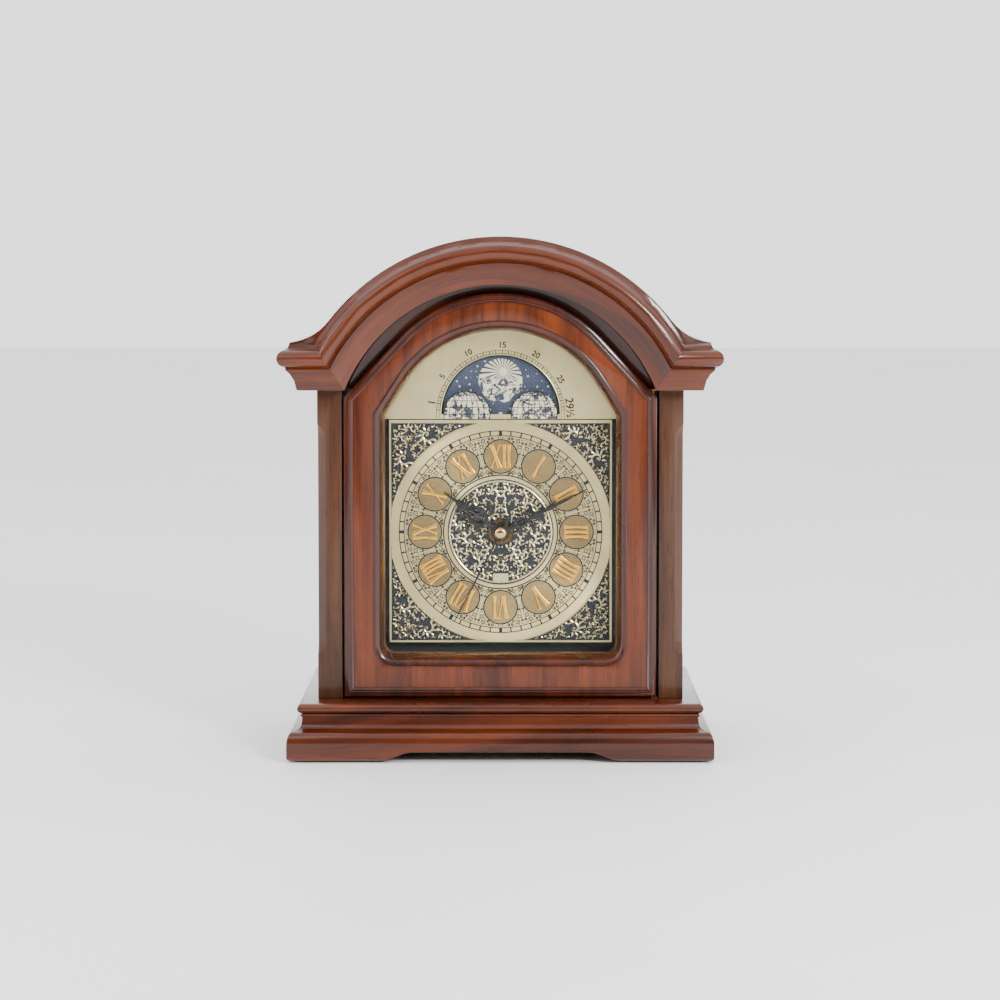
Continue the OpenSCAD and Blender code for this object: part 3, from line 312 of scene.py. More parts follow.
def engraved(name, centre, radius, rays):
    """Cream paint with dark engraving: seas as blotches and, on a moon, rays from one crater."""
    n = Nodes(name)
    local = n.place((1, 1, 1), tuple(-c for c in centre))
    blotch = n.noise(n.place((210, 210, 210), source=local), 1, 5, 0.66, 1.2)
    seas = n.grey(blotch, (0.478, 0), (0.492, 1))
    if rays:
        split = n.add("ShaderNodeSeparateXYZ")
        n.link(local, split.inputs[0])
        x = n.math("SUBTRACT", split.outputs[0], radius * 0.12)
        z = n.math("SUBTRACT", split.outputs[2], radius * 0.42)
        turn = n.math("ARCTAN2", x, z)
        wave = n.math("SINE", n.math("MULTIPLY", turn, 22))
        ray = n.grey(n.math("ADD", n.math("MULTIPLY", wave, 0.5), 0.5), (0.62, 1), (0.72, 0))
        away = n.math("SQRT", n.math("ADD", n.math("MULTIPLY", x, x), n.math("MULTIPLY", z, z)))
        near = n.grey(n.math("DIVIDE", away, radius), (0.16, 1), (0.2, 0.0))
        ray = n.mix(near, ray, (1, 1, 1))
        top = n.grey(n.math("DIVIDE", split.outputs[2], radius), (0.02, 0), (0.2, 1))
        seas = n.mix(top, seas, ray)
    paint = n.ramp(blotch, (0.3, (0.70, 0.64, 0.44)), (0.7, (0.84, 0.79, 0.60)))
    n.colour(n.mix(seas, (0.035, 0.045, 0.07), paint))
    n.roughness(n.grey(blotch, (0.3, 0.45), (0.7, 0.6)))
    n.bump(seas, 0.2, 0.00004)
    return n.material


def clear_glass():
    n = Nodes("clear_glass")
    smear = n.noise(n.place((16, 16, 16)), 1, 4, 0.6)
    n.colour(n.ramp(smear, (0.3, (0.010, 0.014, 0.012)), (0.7, (0.020, 0.026, 0.023))))
    n.roughness(n.grey(smear, (0.35, 0.02), (0.7, 0.05)))
    n.fixed(Alpha=0.06, Specular_IOR_Level=0.6)
    return n.material


glass = clear_glass()
sky = sky_paint()


def paint_nodes(material, *names):
    for name in names:
        node = frame["nodes"][name]
        node.data.materials.clear()
        node.data.materials.append(material)


paint_nodes(felt, "felt_feet")
paint_nodes(plain_wood, "glass_retainer")
paint_nodes(board_paint, "dial_board")
paint_nodes(brass, "case_screws", "door_hinge_leaves", "dial_pillars", "cannon_pinion", "centre_wheel")
paint_nodes(antique_brass, "case_hinge_leaves", "rear_hinge_leaves")
paint_nodes(aged_brass, "centre_nut")
paint_nodes(steel, "strike_plate", "battery_contacts", "stator")
paint_nodes(catch_plastic, "door_catches")
paint_nodes(plate_gold, "dial_plate", "moon_plate")
paint_nodes(ring_gold, "chapter_ring")
paint_nodes(ground, "spandrels", "centre_medallion")
paint_nodes(black_plastic, "movement_front_shell", "movement_rear_cover")
paint_nodes(white_plastic, "hour_wheel", "seconds_wheel", "minute_wheel", "moon_idler_1",
            "moon_idler_2", "moon_idler_3", "moon_wheel", "third_wheel", "intermediate_wheel")
paint_nodes(magnet, "rotor")
paint_nodes(board_green, "circuit_board")
paint_nodes(copper, "coil")
paint_nodes(glass, "door_glass")
paint_nodes(sky, "moon_disc")


# ---------------------------------------------------------------- building
def place_piece(mesh, name, body, slot, material, *nodes):
    piece = bpy.data.objects.new(name, mesh)
    bpy.context.scene.collection.objects.link(piece)
    if not mesh.materials:
        mesh.materials.append(material)
    if nodes:
        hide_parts(*nodes)
    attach(piece, body)
    return piece


def softened(node, slot, material, width=0.5, segments=3, angle=28):
    """A CAD node's shape with its sharp edges rounded by sanding and varnish."""
    source = frame["nodes"][node]
    bm = bmesh.new()
    bm.from_mesh(source.data)
    bmesh.ops.remove_doubles(bm, verts=bm.verts, dist=1e-6)
    bmesh.ops.dissolve_limit(bm, angle_limit=math.radians(1.5), verts=bm.verts, edges=bm.edges)
    sharp = [e for e in bm.edges if e.is_manifold and e.calc_face_angle(0) > math.radians(angle)]
    bmesh.ops.bevel(bm, geom=sharp, offset=width * MM, offset_type="OFFSET", segments=segments,
                    profile=0.5, affect="EDGES", clamp_overlap=True)
    for face in bm.faces:
        face.smooth = True
    mesh = bpy.data.meshes.new(node + "_shape")
    bm.to_mesh(mesh)
    bm.free()
    mesh.set_sharp_from_angle(angle=math.radians(angle))
    mesh.materials.append(material)
    return place_piece(mesh, node + "_finished", source["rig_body"], slot, material, node)


softened("hood_front_moulding", "hood_wood", hood_wood, 0.35)
for side in ("left", "right"):
    softened("hood_return_" + side, "hood_wood", return_wood, 0.35)
    softened("pilaster_" + side, "pilaster_wood", post_wood, 0.7)
    softened("side_panel_" + side, "case_wood", side_wood, 0.4)
softened("plinth_front", "base_wood", base_wood, 0.35)
softened("plinth_sides", "base_wood", base_side_wood, 0.35)
softened("plinth_back", "base_wood", base_wood, 0.5)
softened("base_board", "base_wood", base_wood, 0.4)
softened("hood_fascia", "case_wood", hood_wood, 0.3)
softened("roof_panel", "case_wood", return_wood, 0.3)
softened("back_frame", "plain_wood", plain_wood, 0.5)
softened("rear_door", "plain_wood", plain_wood, 0.6)
softened("door_frame", "door_wood", veneer, 0.3)
softened("door_outer_moulding", "moulding_wood", edge_wood, 0.15, 2)
softened("door_inner_moulding", "moulding_wood", edge_wood, 0.15, 2)


# ---------------------------------------------------------------- relief and print
class Relief:
    """One mesh of closed strips, leaves, beads and plates that stand on a face looking along -Y."""

    def __init__(self, centre, face_y):
        self.verts, self.faces = [], []
        self.centre, self.face_y = centre, face_y
        self.count = 0

    def point(self, x, z, h):
        self.verts.append((self.centre.x + x * MM, self.face_y - h * MM, self.centre.z + z * MM))

    def sweep(self, path, widths, height, section, closed=False):
        """A strip along path. section is a list of (side, height) pairs, as shares, across it."""
        first, count, across = len(self.verts), len(path), len(section)
        self.count += 1
        lift = height + (self.count % 9) * 0.004
        for i, (x, z) in enumerate(path):
            a = path[i - 1] if i or closed else path[0]
            b = path[(i + 1) % count] if i + 1 < count or closed else path[-1]
            dx, dz = b[0] - a[0], b[1] - a[1]
            size = math.hypot(dx, dz) or 1
            nx, nz = -dz / size, dx / size
            for side, up in section:
                self.point(x + nx * side * widths[i], z + nz * side * widths[i], up * lift)
        for i in range(count if closed else count - 1):
            here, there = first + i * across, first + (i + 1) % count * across
            for k in range(across):
                after = (k + 1) % across
                self.faces.append((here + k, there + k, there + after, here + after))
        if not closed:
            self.faces.append(tuple(first + k for k in range(across)))
            self.faces.append(tuple(first + (count - 1) * across + k for k in reversed(range(across))))

    def ridge(self, path, widths, height, closed=False):
        self.sweep(path, widths, height,
                   ((-0.5, -0.1), (-0.42, 0.55), (0, 1), (0.42, 0.55), (0.5, -0.1)), closed)

    def flat(self, path, widths, height=0.05, closed=False):
        if isinstance(widths, (int, float)):
            widths = [widths] * len(path)
        self.sweep(path, widths, height, ((-0.5, -0.3), (-0.5, 1), (0.5, 1), (0.5, -0.3)), closed)

    def dome(self, x, z, radius, height, sides=12, rings=3):
        """A bead: a flat underside and a round top."""
        first = len(self.verts)
        for k in range(rings):
            a = math.pi / 2 * k / rings
            for i in range(sides):
                t = 2 * math.pi * i / sides
                r = radius * math.cos(a)
                self.point(x + r * math.cos(t), z + r * math.sin(t), height * math.sin(a))
        self.point(x, z, height)
        top = len(self.verts) - 1
        for k in range(rings - 1):
            for i in range(sides):
                j = (i + 1) % sides
                a, b = first + k * sides, first + (k + 1) * sides
                self.faces.append((a + i, a + j, b + j, b + i))
        last = first + (rings - 1) * sides
        for i in range(sides):
            self.faces.append((last + i, last + (i + 1) % sides, top))
        self.faces.append(tuple(first + i for i in reversed(range(sides))))

    def plate(self, outline, height, inset=0.0):
        """A flat piece with the given outline; inset slopes its edge in."""
        first, count = len(self.verts), len(outline)
        cx = sum(p[0] for p in outline) / count
        cz = sum(p[1] for p in outline) / count
        for x, z in outline:
            self.point(x, z, -0.02)
        for x, z in outline:
            size = math.hypot(x - cx, z - cz) or 1
            self.point(x - (x - cx) / size * inset, z - (z - cz) / size * inset, height)
        for i in range(count):
            j = (i + 1) % count
            self.faces.append((first + i, first + j, first + count + j, first + count + i))
        self.faces.append(tuple(first + i for i in reversed(range(count))))
        self.faces.append(tuple(first + count + i for i in range(count)))

    def leaf(self, x, z, angle, length, width, height, bend=0.0):
        """A pointed leaf with a raised rib, from (x, z) out along angle."""
        path, widths = [], []
        steps = 6
        for i in range(steps + 1):
            t = i / steps
            a = angle + bend * t
            path.append((x, z))
            x += math.cos(a) * length / steps
            z += math.sin(a) * length / steps
            swell = 0.25 + 0.9 * math.sin(math.pi * min(1, 0.12 + t * 0.9))
            widths.append(width * swell * (1 - t ** 3 * 0.85))
        self.ridge(path, widths, height)

    def scroll(self, x, z, radius, start, hand, turns, thick, height):
        """A strip that winds in from the rim of a circle and ends in a bead."""
        steps = max(10, int(16 * turns))
        path, widths = [], []
        for i in range(steps + 1):
            t = i / steps
            a = start + hand * turns * 2 * math.pi * t
            r = radius * (1 - 0.78 * t ** 0.85)
            path.append((x + r * math.cos(a), z + r * math.sin(a)))
            widths.append(thick * (0.45 + 0.75 * math.sin(math.pi * min(1, 0.15 + t))))
        self.ridge(path, widths, height)
        self.dome(x, z, max(0.35, radius * 0.2), height * 1.15, 10)

    def mesh(self, name, smooth=True):
        mesh = bpy.data.meshes.new(name)
        mesh.from_pydata(self.verts, [], self.faces)
        bm = bmesh.new()
        bm.from_mesh(mesh)
        bmesh.ops.recalc_face_normals(bm, faces=bm.faces)
        bm.to_mesh(mesh)
        bm.free()
        if smooth:
            mesh.shade_smooth()
            mesh.set_sharp_from_angle(angle=math.radians(35))
        return mesh


class Turned:
    """Draws on a Relief with every point turned about its centre and, if asked, mirrored."""

    def __init__(self, relief, turn=0.0, mirror=False):
        self.relief, self.turn, self.sign = relief, turn, -1 if mirror else 1

    def at(self, x, z):
        x *= self.sign
        c, s = math.cos(self.turn), math.sin(self.turn)
        return x * c + z * s, z * c - x * s

    def heading(self, angle):
        if self.sign < 0:
            angle = math.pi - angle
        return angle - self.turn

    def leaf(self, x, z, angle, length, width, height, bend=0.0):
        self.relief.leaf(*self.at(x, z), self.heading(angle), length, width, height, bend * self.sign)

    def scroll(self, x, z, radius, start, hand, *rest):
        self.relief.scroll(*self.at(x, z), radius, self.heading(start), hand * self.sign, *rest)

    def ridge(self, path, widths, height):
        self.relief.ridge([self.at(*p) for p in path], widths, height)

    def flat(self, path, widths, height=0.05):
        self.relief.flat([self.at(*p) for p in path], widths, height)

    def dome(self, x, z, radius, height, sides=12):
        self.relief.dome(*self.at(x, z), radius, height, sides)


def circle_path(radius, count=96, x=0.0, z=0.0, start=0.0, end=2 * math.pi):
    steps = count if end - start > 6.28 else count - 1
    return [(x + radius * math.sin(start + (end - start) * i / steps),
             z + radius * math.cos(start + (end - start) * i / steps)) for i in range(count)]


def turn_to(level, radius):
    """The angle from the top at which a circle about the origin comes down to a level."""
    return math.acos(max(-1, min(1, level / radius)))


def packed_circles(rng, room, box, sizes, tries=1400, gap=0.25):
    """Circles of falling size in the room: room(x, z) is the distance left to its edges."""
    circles = []
    for most, least in sizes:
        for _ in range(tries):
            x, z = rng.uniform(box[0], box[1]), rng.uniform(box[2], box[3])
            radius = room(x, z)
            for cx, cz, cr in circles:
                radius = min(radius, math.hypot(x - cx, z - cz) - cr - gap)
                if radius < least:
                    break
            if radius >= least:
                circles.append((x, z, min(radius, most)))
    return circles


def foliage(draw, circles, rng, height, leaf_share=0.85):
    """Acanthus: a scroll in each large circle with leaves round it, and a spray in each small one."""
    for index, (x, z, r) in enumerate(circles):
        hand = 1 if index % 2 else -1
        start = rng.uniform(0, 2 * math.pi)
        if r > 1.6:
            draw.scroll(x, z, r * 0.72, start, hand, 0.95, 0.5 + r * 0.12, height)
            leaves = 3 + int(r)
            for k in range(leaves):
                share = k / leaves
                a = start + hand * 2 * math.pi * 0.8 * share
                reach = r * 0.70 * (1 - 0.25 * share)
                draw.leaf(x + reach * math.cos(a), z + reach * math.sin(a), a - hand * 1.0,
                          r * (0.85 - 0.25 * share), leaf_share * (0.55 + r * 0.17), height * 0.85, hand * 1.7)
        elif r > 0.8:
            for k, turn in enumerate((-0.75, 0, 0.75)):
                draw.leaf(x - r * 0.9 * math.cos(start), z - r * 0.9 * math.sin(start), start + turn,
                          r * (2.0 if k == 1 else 1.5), r * 0.72, height * 0.75, turn + hand * 0.5)
        else:
            draw.leaf(x - r * math.cos(start), z - r * math.sin(start), start, r * 2.3, r * 1.15,
                      height * 0.6, hand * 0.9)


# ---------------------------------------------------------------- dial
ring_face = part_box("chapter_ring")[0].y
plate_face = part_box("dial_plate")[0].y
spandrel_lo, spandrel_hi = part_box("spandrels")
medal_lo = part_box("centre_medallion")[0]
NUMERAL_R, NUMERAL_H = 44.5, 14.3
CARTOUCHE_R = 10.0

# Corner ornament: scrolls inside a thin arc, mirrored about each corner's diagonal
BORDER = 1.3                            # plain rim of the plate outside a corner field
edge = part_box("dial_plate")[1].x / MM - BORDER
relief = Relief(DIAL, spandrel_lo.y)
clear_r = RING_R + 1.3
meet = math.asin(math.sqrt(clear_r ** 2 - edge ** 2) / clear_r)
corner_arc = [(clear_r * math.sin(a), clear_r * math.cos(a))
              for a in (meet + 0.01 + (math.pi / 2 - 2 * meet - 0.02) * i / 40 for i in range(41))]
fields = Relief(DIAL, spandrel_hi.y)


def corner_room(x, z):
    return min(edge - 0.5 - x, edge - 0.5 - z, math.hypot(x, z) - clear_r - 0.5,
               (z - x) / math.sqrt(2) - 0.1)


rng = random.Random(11)
corner = packed_circles(rng, corner_room, (8, edge, 30, edge),
                        ((5.2, 3.0), (2.9, 1.6), (1.5, 0.8), (0.75, 0.36)), 2600, 0.05)
other_half = [(z, x, r) for x, z, r in corner]
beads = [(d / math.sqrt(2), d / math.sqrt(2)) for d in (72, 77.5, 82)]
for quarter in range(4):
    turned = Turned(relief, quarter * math.pi / 2)
    for circles in (corner, other_half):
        foliage(turned, circles, random.Random(5), 0.55)
    for x, z in beads:
        turned.dome(x, z, 0.9, 0.7)
    turned.ridge(corner_arc, [0.4] * len(corner_arc), 0.35)
    fields.plate([turned.at(*p) for p in corner_arc + [(edge, edge)]],
                 (spandrel_hi.y - spandrel_lo.y) / MM - 0.01)
place_piece(relief.mesh("spandrel_scrolls"), "spandrel_scrolls", "case", "relief_metal", relief_gold)
place_piece(fields.mesh("spandrel_fields", False), "spandrel_fields", "case", "relief_metal", ground,
            "spandrels")

# Centre ornament: scrolls mirrored left and right, a rim and a small plain tab
relief = Relief(DIAL, medal_lo.y)
TAB = (4.6, 5.0)                        # half width and height of the tab
MEDAL_RIM = 1.6                         # plain rim outside the scrolls
FAR = 9                                 # a distance that never limits a circle


def medal_room(x, z):
    r = math.hypot(x, z)
    tab = max(abs(x) - TAB[0], -(MEDAL_R - MEDAL_RIM - TAB[1]) - z) if z < 0 else FAR
    return min(MEDAL_R - 1.9 - r, r - 7.6, x - 0.1, max(tab, 0) if z < -MEDAL_R + 8 else FAR)


medal = packed_circles(random.Random(23), medal_room, (0, MEDAL_R, -MEDAL_R, MEDAL_R),
                       ((4.4, 2.7), (2.6, 1.6), (1.5, 0.8), (0.75, 0.34)), 2600, 0.05)
for mirror in (False, True):
    foliage(Turned(relief, 0, mirror), medal, random.Random(8), 0.5)
relief.ridge(circle_path(MEDAL_R - 1.2), [1.1] * 96, 0.5, True)
tab_top = -(MEDAL_R - MEDAL_RIM - TAB[1])
relief.plate([(-TAB[0], tab_top - TAB[1]), (TAB[0], tab_top - TAB[1]), (TAB[0], tab_top), (-TAB[0], tab_top)],
             0.45, 0.15)
place_piece(relief.mesh("centre_scrolls"), "centre_scrolls", "case", "relief_metal", relief_gold)

# Chapter ring print: two lines and a minute track outside, filigree between the cartouches
TRACK = (56.6, 59.5)                    # inner and outer radius of the minute track
ink_work = Relief(DIAL, ring_face)
for radius, width in ((TRACK[1], 0.6), (TRACK[0] + 0.1, 0.55), (33.5, 0.8)):
    ink_work.flat(circle_path(radius, 144), width, closed=True)
for minute in range(60):
    a = math.radians(6 * minute)
    wide = 1.9 if minute % 5 == 0 else 0.85
    ink_work.flat([(r * math.sin(a), r * math.cos(a)) for r in TRACK], wide)


def sector_room(x, z):
    r = math.hypot(x, z)
    off = math.hypot(x - NUMERAL_R * math.sin(math.radians(15)), z - NUMERAL_R * math.cos(math.radians(15)))
    return min(56.1 - r, r - 34.0, off - CARTOUCHE_R - 0.35, x - 0.12)


sector = packed_circles(random.Random(4), sector_room, (0, 16, 32, 57),
                        ((2.6, 1.5), (1.45, 0.8), (0.75, 0.42), (0.4, 0.26)), 2200, 0.12)
for hour in range(12):
    for mirror in (False, True):
        turned = Turned(ink_work, math.radians(30 * hour + 15), mirror)
        rng = random.Random(6)
        for index, (x, z, r) in enumerate(sector):
            start, hand = rng.uniform(0, 6.28), 1 if index % 2 else -1
            if r > 0.7:
                steps = 14
                path = [(x + r * 0.8 * (1 - 0.7 * t) * math.cos(start + hand * 8.2 * t),
                         z + r * 0.8 * (1 - 0.7 * t) * math.sin(start + hand * 8.2 * t))
                        for t in (i / steps for i in range(steps + 1))]
                turned.flat(path, [0.3 + 0.3 * math.sin(math.pi * i / steps) for i in range(steps + 1)])
                for k in range(4):
                    a = start + 1.57 * k
                    turned.flat([(x + r * 0.8 * math.cos(a), z + r * 0.8 * math.sin(a)),
                                 (x + r * 1.1 * math.cos(a + 0.35), z + r * 1.1 * math.sin(a + 0.35))],
                                [0.65, 0.15])
            else:
                turned.flat([(x - r * math.cos(start), z - r * math.sin(start)), (x, z),
                             (x + r * math.cos(start), z + r * math.sin(start))], [0.15, r * 1.2, 0.15])
place_piece(ink_work.mesh("ring_print", False), "ring_print", "case", "hand_paint", ink)

# Cartouches: a gold disc in a black outline behind each numeral
outline = Relief(DIAL, ring_face)
discs = Relief(DIAL, ring_face)
for hour in range(12):
    a = math.radians(30 * hour)
    x, z = NUMERAL_R * math.sin(a), NUMERAL_R * math.cos(a)
    outline.flat(circle_path(CARTOUCHE_R - 0.1, 64, x, z), 0.85, 0.09, True)
    discs.plate(circle_path(CARTOUCHE_R - 0.6, 64, x, z), 0.07, 0.1)
place_piece(outline.mesh("cartouche_rims", False), "cartouche_rims", "case", "hand_paint", ink)
place_piece(discs.mesh("cartouches", False), "cartouches", "case", "ring_metal", disc_gold)

# Roman numerals, each standing outwards from the centre
GLYPHS = {1: "I", 2: "II", 3: "III", 4: "IIII", 5: "V", 6: "VI", 7: "VII", 8: "VIII", 9: "IX", 10: "X",
          11: "XI", 12: "XII"}
WIDTH = {"I": 2.9, "V": 7.0, "X": 7.0}
ROOM = 13.2                             # widest numeral that fits its cartouche
numerals = Relief(DIAL, ring_face)
painted_shade_edging = Relief(DIAL, ring_face)      # painted shade: a dark edge round each stroke, standing in for the shadow of the raised numeral


def stem(draw, x0, z0, x1, z1, wide, height):
    """A stroke that is waisted in the middle and flares to both ends."""
    steps = 8
    path = [(x0 + (x1 - x0) * i / steps, z0 + (z1 - z0) * i / steps) for i in range(steps + 1)]
    widths = [wide * (1 + 0.55 * (abs(2 * i / steps - 1)) ** 3) for i in range(steps + 1)]
    draw.relief.sweep([draw.at(*p) for p in path], widths, height,
                      ((-0.5, -0.1), (-0.5, 0.6), (-0.34, 1), (0.34, 1), (0.5, 0.6), (0.5, -0.1)))
    # painted shade: a dark band a little wider than the stroke, round the raised numeral
    painted_shade_edging.flat([draw.at(*p) for p in path], [w + 0.6 for w in widths], 0.11)


def foot(draw, x, z, wide, height):
    draw.relief.sweep([draw.at(x - wide / 2, z), draw.at(x + wide / 2, z)], [0.8, 0.8], height,
                      ((-0.5, -0.1), (-0.5, 0.6), (-0.25, 1), (0.25, 1), (0.5, 0.6), (0.5, -0.1)))


for hour, letters in GLYPHS.items():
    draw = Turned(numerals, math.radians(30 * hour))
    total = sum(WIDTH[c] for c in letters)
    squeeze = min(1, ROOM / total)
    left = -total * squeeze / 2
    low, high = NUMERAL_R - NUMERAL_H / 2 + 0.4, NUMERAL_R + NUMERAL_H / 2 - 0.4
    for letter in letters:
        wide = WIDTH[letter] * squeeze
        x = left + wide / 2
        if letter == "I":
            stem(draw, x, low, x, high, 1.75, 0.55)
            foot(draw, x, low, 2.7 * squeeze, 0.46)
            foot(draw, x, high, 2.7 * squeeze, 0.46)
        else:
            reach = wide / 2 - 1.1
            if letter == "V":
                stem(draw, x - reach, high, x, low, 2.1, 0.55)
                stem(draw, x + reach, high, x, low, 1.15, 0.5)
            else:
                stem(draw, x - reach, high, x + reach, low, 2.1, 0.55)
                stem(draw, x + reach, high, x - reach, low, 1.15, 0.5)
                foot(draw, x - reach, low, 2.3, 0.44)
                foot(draw, x + reach, low, 2.3, 0.44)
            foot(draw, x - reach, high, 2.3, 0.44)
            foot(draw, x + reach, high, 2.3, 0.44)
        left += wide
place_piece(numerals.mesh("roman_numerals"), "roman_numerals", "case", "relief_metal", numeral_gold,
            "numerals")
# painted shade round the numerals, as its own dark piece on the ring
place_piece(painted_shade_edging.mesh("numeral_painted_shade_edges", False), "numeral_painted_shade_edges", "case", "hand_paint", numeral_painted_shade)

# ---------------------------------------------------------------- moon dial
moon_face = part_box("moon_disc")[0].y
moon_plate_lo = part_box("moon_plate")[0]
split = (moon_plate_lo.z - MOON.z) / MM
WINDOW_R = 34.8
SCALE_R = (35.6, 37.6)

# Two moons and a field of stars on the disc, which turns
MOON_R, MOON_AT = 12.9, 19.65
stars = Relief(MOON, moon_face)
rng = random.Random(31)


def star_room(x, z):
    off = min(math.hypot(x, z - MOON_AT), math.hypot(x, z + MOON_AT))
    return min(33.2 - math.hypot(x, z), off - MOON_R - 0.6)


STAR_SIZES = ((0.85, 0.75), (0.5, 0.42), (0.32, 0.27))
for x, z, r in packed_circles(rng, star_room, (-34, 34, -34, 34), STAR_SIZES, 150, 1.5):
    turn = rng.uniform(0, 1)
    points = [(x + (r if k % 2 else r * 0.36) * math.cos(turn + math.pi * k / 6),
               z + (r if k % 2 else r * 0.36) * math.sin(turn + math.pi * k / 6)) for k in range(12)]
    stars.plate(points, 0.05)
place_piece(stars.mesh("moon_stars", False), "moon_stars", "moon", "moon_paint", cream)
for index, sign in enumerate((1, -1)):
    centre = MOON + Vector((0, 0, sign * MOON_AT * MM))
    moon = Relief(centre, moon_face)
    moon.plate(circle_path(MOON_R, 96), 0.06, 0.03)
    paint = engraved("moon_face_%d" % (index + 1), centre, MOON_R * MM, True)
    place_piece(moon.mesh("painted_moon_%d" % (index + 1), False), "painted_moon_%d" % (index + 1), "moon",
                "moon_paint", paint)

# Scale round the window: a rim, a double line with ticks, and the days of the moon's age
GLOBE_X, GLOBE_R = 19.7, 13.6
scale = Relief(MOON, moon_plate_lo.y)
for radius in SCALE_R:
    turn = turn_to(split + 0.4, radius)
    scale.flat(circle_path(radius, 120, start=-turn, end=turn), 0.3)
DAYS = 29.5
scale_turn = math.radians(86)
for half_day in range(60):
    a = -scale_turn + 2 * scale_turn * half_day / 59
    wide = 0.55 if half_day % 2 == 0 else 0.28
    scale.flat([(SCALE_R[0] * math.sin(a), SCALE_R[0] * math.cos(a)),
                (SCALE_R[1] * math.sin(a), SCALE_R[1] * math.cos(a))], wide, 0.055)
place_piece(scale.mesh("moon_scale", False), "moon_scale", "case", "hand_paint", ink)

digits = bmesh.new()
for label, day in (("1", 1), ("5", 5), ("10", 10), ("15", 15), ("20", 20), ("25", 25), ("29½", 29.3)):
    a = -scale_turn + 2 * scale_turn * day / DAYS
    text = bpy.data.curves.new("day", "FONT")
    text.body = label
    text.size = (6.6 if label in ("1", "29½") else 4.8) * MM
    text.offset = 0.12 * MM
    text.align_x = "CENTER"
    text.align_y = "CENTER"
    text.extrude = 0.03 * MM
    shown = bpy.data.objects.new("day", text)
    bpy.context.scene.collection.objects.link(shown)
    shown.location = (MOON.x + 40.6 * MM * math.sin(a), moon_plate_lo.y - 0.02 * MM,
                      MOON.z + 40.6 * MM * math.cos(a))
    shown.rotation_euler = (math.pi / 2, a, 0)
    bpy.context.view_layer.update()
    flat_text = bpy.data.meshes.new_from_object(shown.evaluated_get(bpy.context.evaluated_depsgraph_get()))
    flat_text.transform(shown.matrix_world)
    digits.from_mesh(flat_text)
    bpy.data.objects.remove(shown)
bmesh.ops.remove_doubles(digits, verts=digits.verts, dist=1e-7)
digit_mesh = bpy.data.meshes.new("moon_days")
digits.to_mesh(digit_mesh)
digits.free()
place_piece(digit_mesh, "moon_days", "case", "hand_paint", ink)

# Rim of the window, and a half globe on each side of it with its map lines
rim = Relief(MOON, moon_plate_lo.y)
RIM_R = WINDOW_R + 0.35
rim_turn = turn_to(split + 0.5, RIM_R)
rim.ridge(circle_path(RIM_R, 120, start=-rim_turn, end=rim_turn), [0.7] * 120, 0.3)
place_piece(rim.mesh("window_rim"), "window_rim", "case", "dial_metal", plate_gold)
floor_z = split + 0.1
for index, side in enumerate((-1, 1)):
    centre = MOON + Vector((side * GLOBE_X * MM, 0, 0))
    rise = turn_to(floor_z, GLOBE_R)
    globe = Relief(centre, moon_plate_lo.y)
    half_disc = circle_path(GLOBE_R, 72, start=-rise, end=rise)
    kept = [p for p in half_disc if math.hypot(p[0] + side * GLOBE_X, p[1]) < WINDOW_R + 4]
    globe.plate(kept, 0.08, 0.05)
    land = engraved("globe_map_%d" % (index + 1), centre + Vector((0.03 * (index + 1), 0, 0.01)),
                    GLOBE_R * MM, False)
    place_piece(globe.mesh("globe_map_%d" % (index + 1), False), "globe_map_%d" % (index + 1), "case",
                "moon_paint", land)
    lines = Relief(centre, moon_plate_lo.y)
    lines.flat(circle_path(GLOBE_R - 0.1, 72, start=-rise, end=rise), 0.5, 0.14)
    for share in (-0.75, -0.5, -0.25, 0, 0.25, 0.5, 0.75):
        meridian = [(share * GLOBE_R * math.cos(t), GLOBE_R * math.sin(t))
                    for t in (math.radians(d) for d in range(-10, 91, 4)) if GLOBE_R * math.sin(t) > floor_z]
        lines.flat(meridian, 0.4, 0.12)
    for level in (0.0, 0.3, 0.58, 0.82):
        z = level * GLOBE_R
        if z > floor_z:
            reach = math.sqrt(GLOBE_R ** 2 - z ** 2)
            lines.flat([(-reach, z), (0, z), (reach, z)], 0.4, 0.12)
    place_piece(lines.mesh("globe_lines_%d" % (index + 1), False), "globe_lines_%d" % (index + 1), "case",
                "hand_paint", ink)

# Engraved line on the plates, inside their edge
line = Relief(DIAL, plate_face)
half = (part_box("dial_plate")[1].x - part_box("dial_plate")[0].x) / 2 / MM
inner = half - 1.2
line.flat([(-inner, inner), (-inner, -inner), (inner, -inner), (inner, inner)], 0.25, 0.03)
place_piece(line.mesh("plate_line", False), "plate_line", "case", "hand_paint", ink)


# ---------------------------------------------------------------- hands
BAR_WEIGHT = 1.6                        # the hands are drawn this much bolder than their strokes


def hand_angle(node):
    """Where the CAD hand points, clockwise from twelve, from the vertex farthest out."""
    best = max(frame["nodes"][node].data.vertices,
               key=lambda v: math.hypot(v.co.x - DIAL.x, v.co.z - DIAL.z))
    return math.atan2(best.co.x - DIAL.x, best.co.z - DIAL.z)


def hand(node, body, draw_shape, thick):
    face_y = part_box(node)[1].y
    shape = Relief(DIAL, face_y)
    draw = Turned(shape, hand_angle(node))
    draw_shape(draw, thick)
    place_piece(shape.mesh(node + "_shape", False), node + "_shape", body, "hand_paint", enamel, node)


def boss(draw, inner_r, outer_r, thick):
    middle = (inner_r + outer_r) / 2
    draw.relief.sweep(circle_path(middle, 64), [outer_r - inner_r] * 64, thick,
                      ((-0.5, 0), (-0.5, 0.9), (-0.4, 1), (0.4, 1), (0.5, 0.9), (0.5, 0)), True)


def bar(draw, path, widths, thick):
    widths = [BAR_WEIGHT * w for w in widths]
    draw.relief.sweep([draw.at(*p) for p in path], widths, thick,
                      ((-0.5, 0), (-0.5, 0.85), (-0.3, 1), (0.3, 1), (0.5, 0.85), (0.5, 0)))


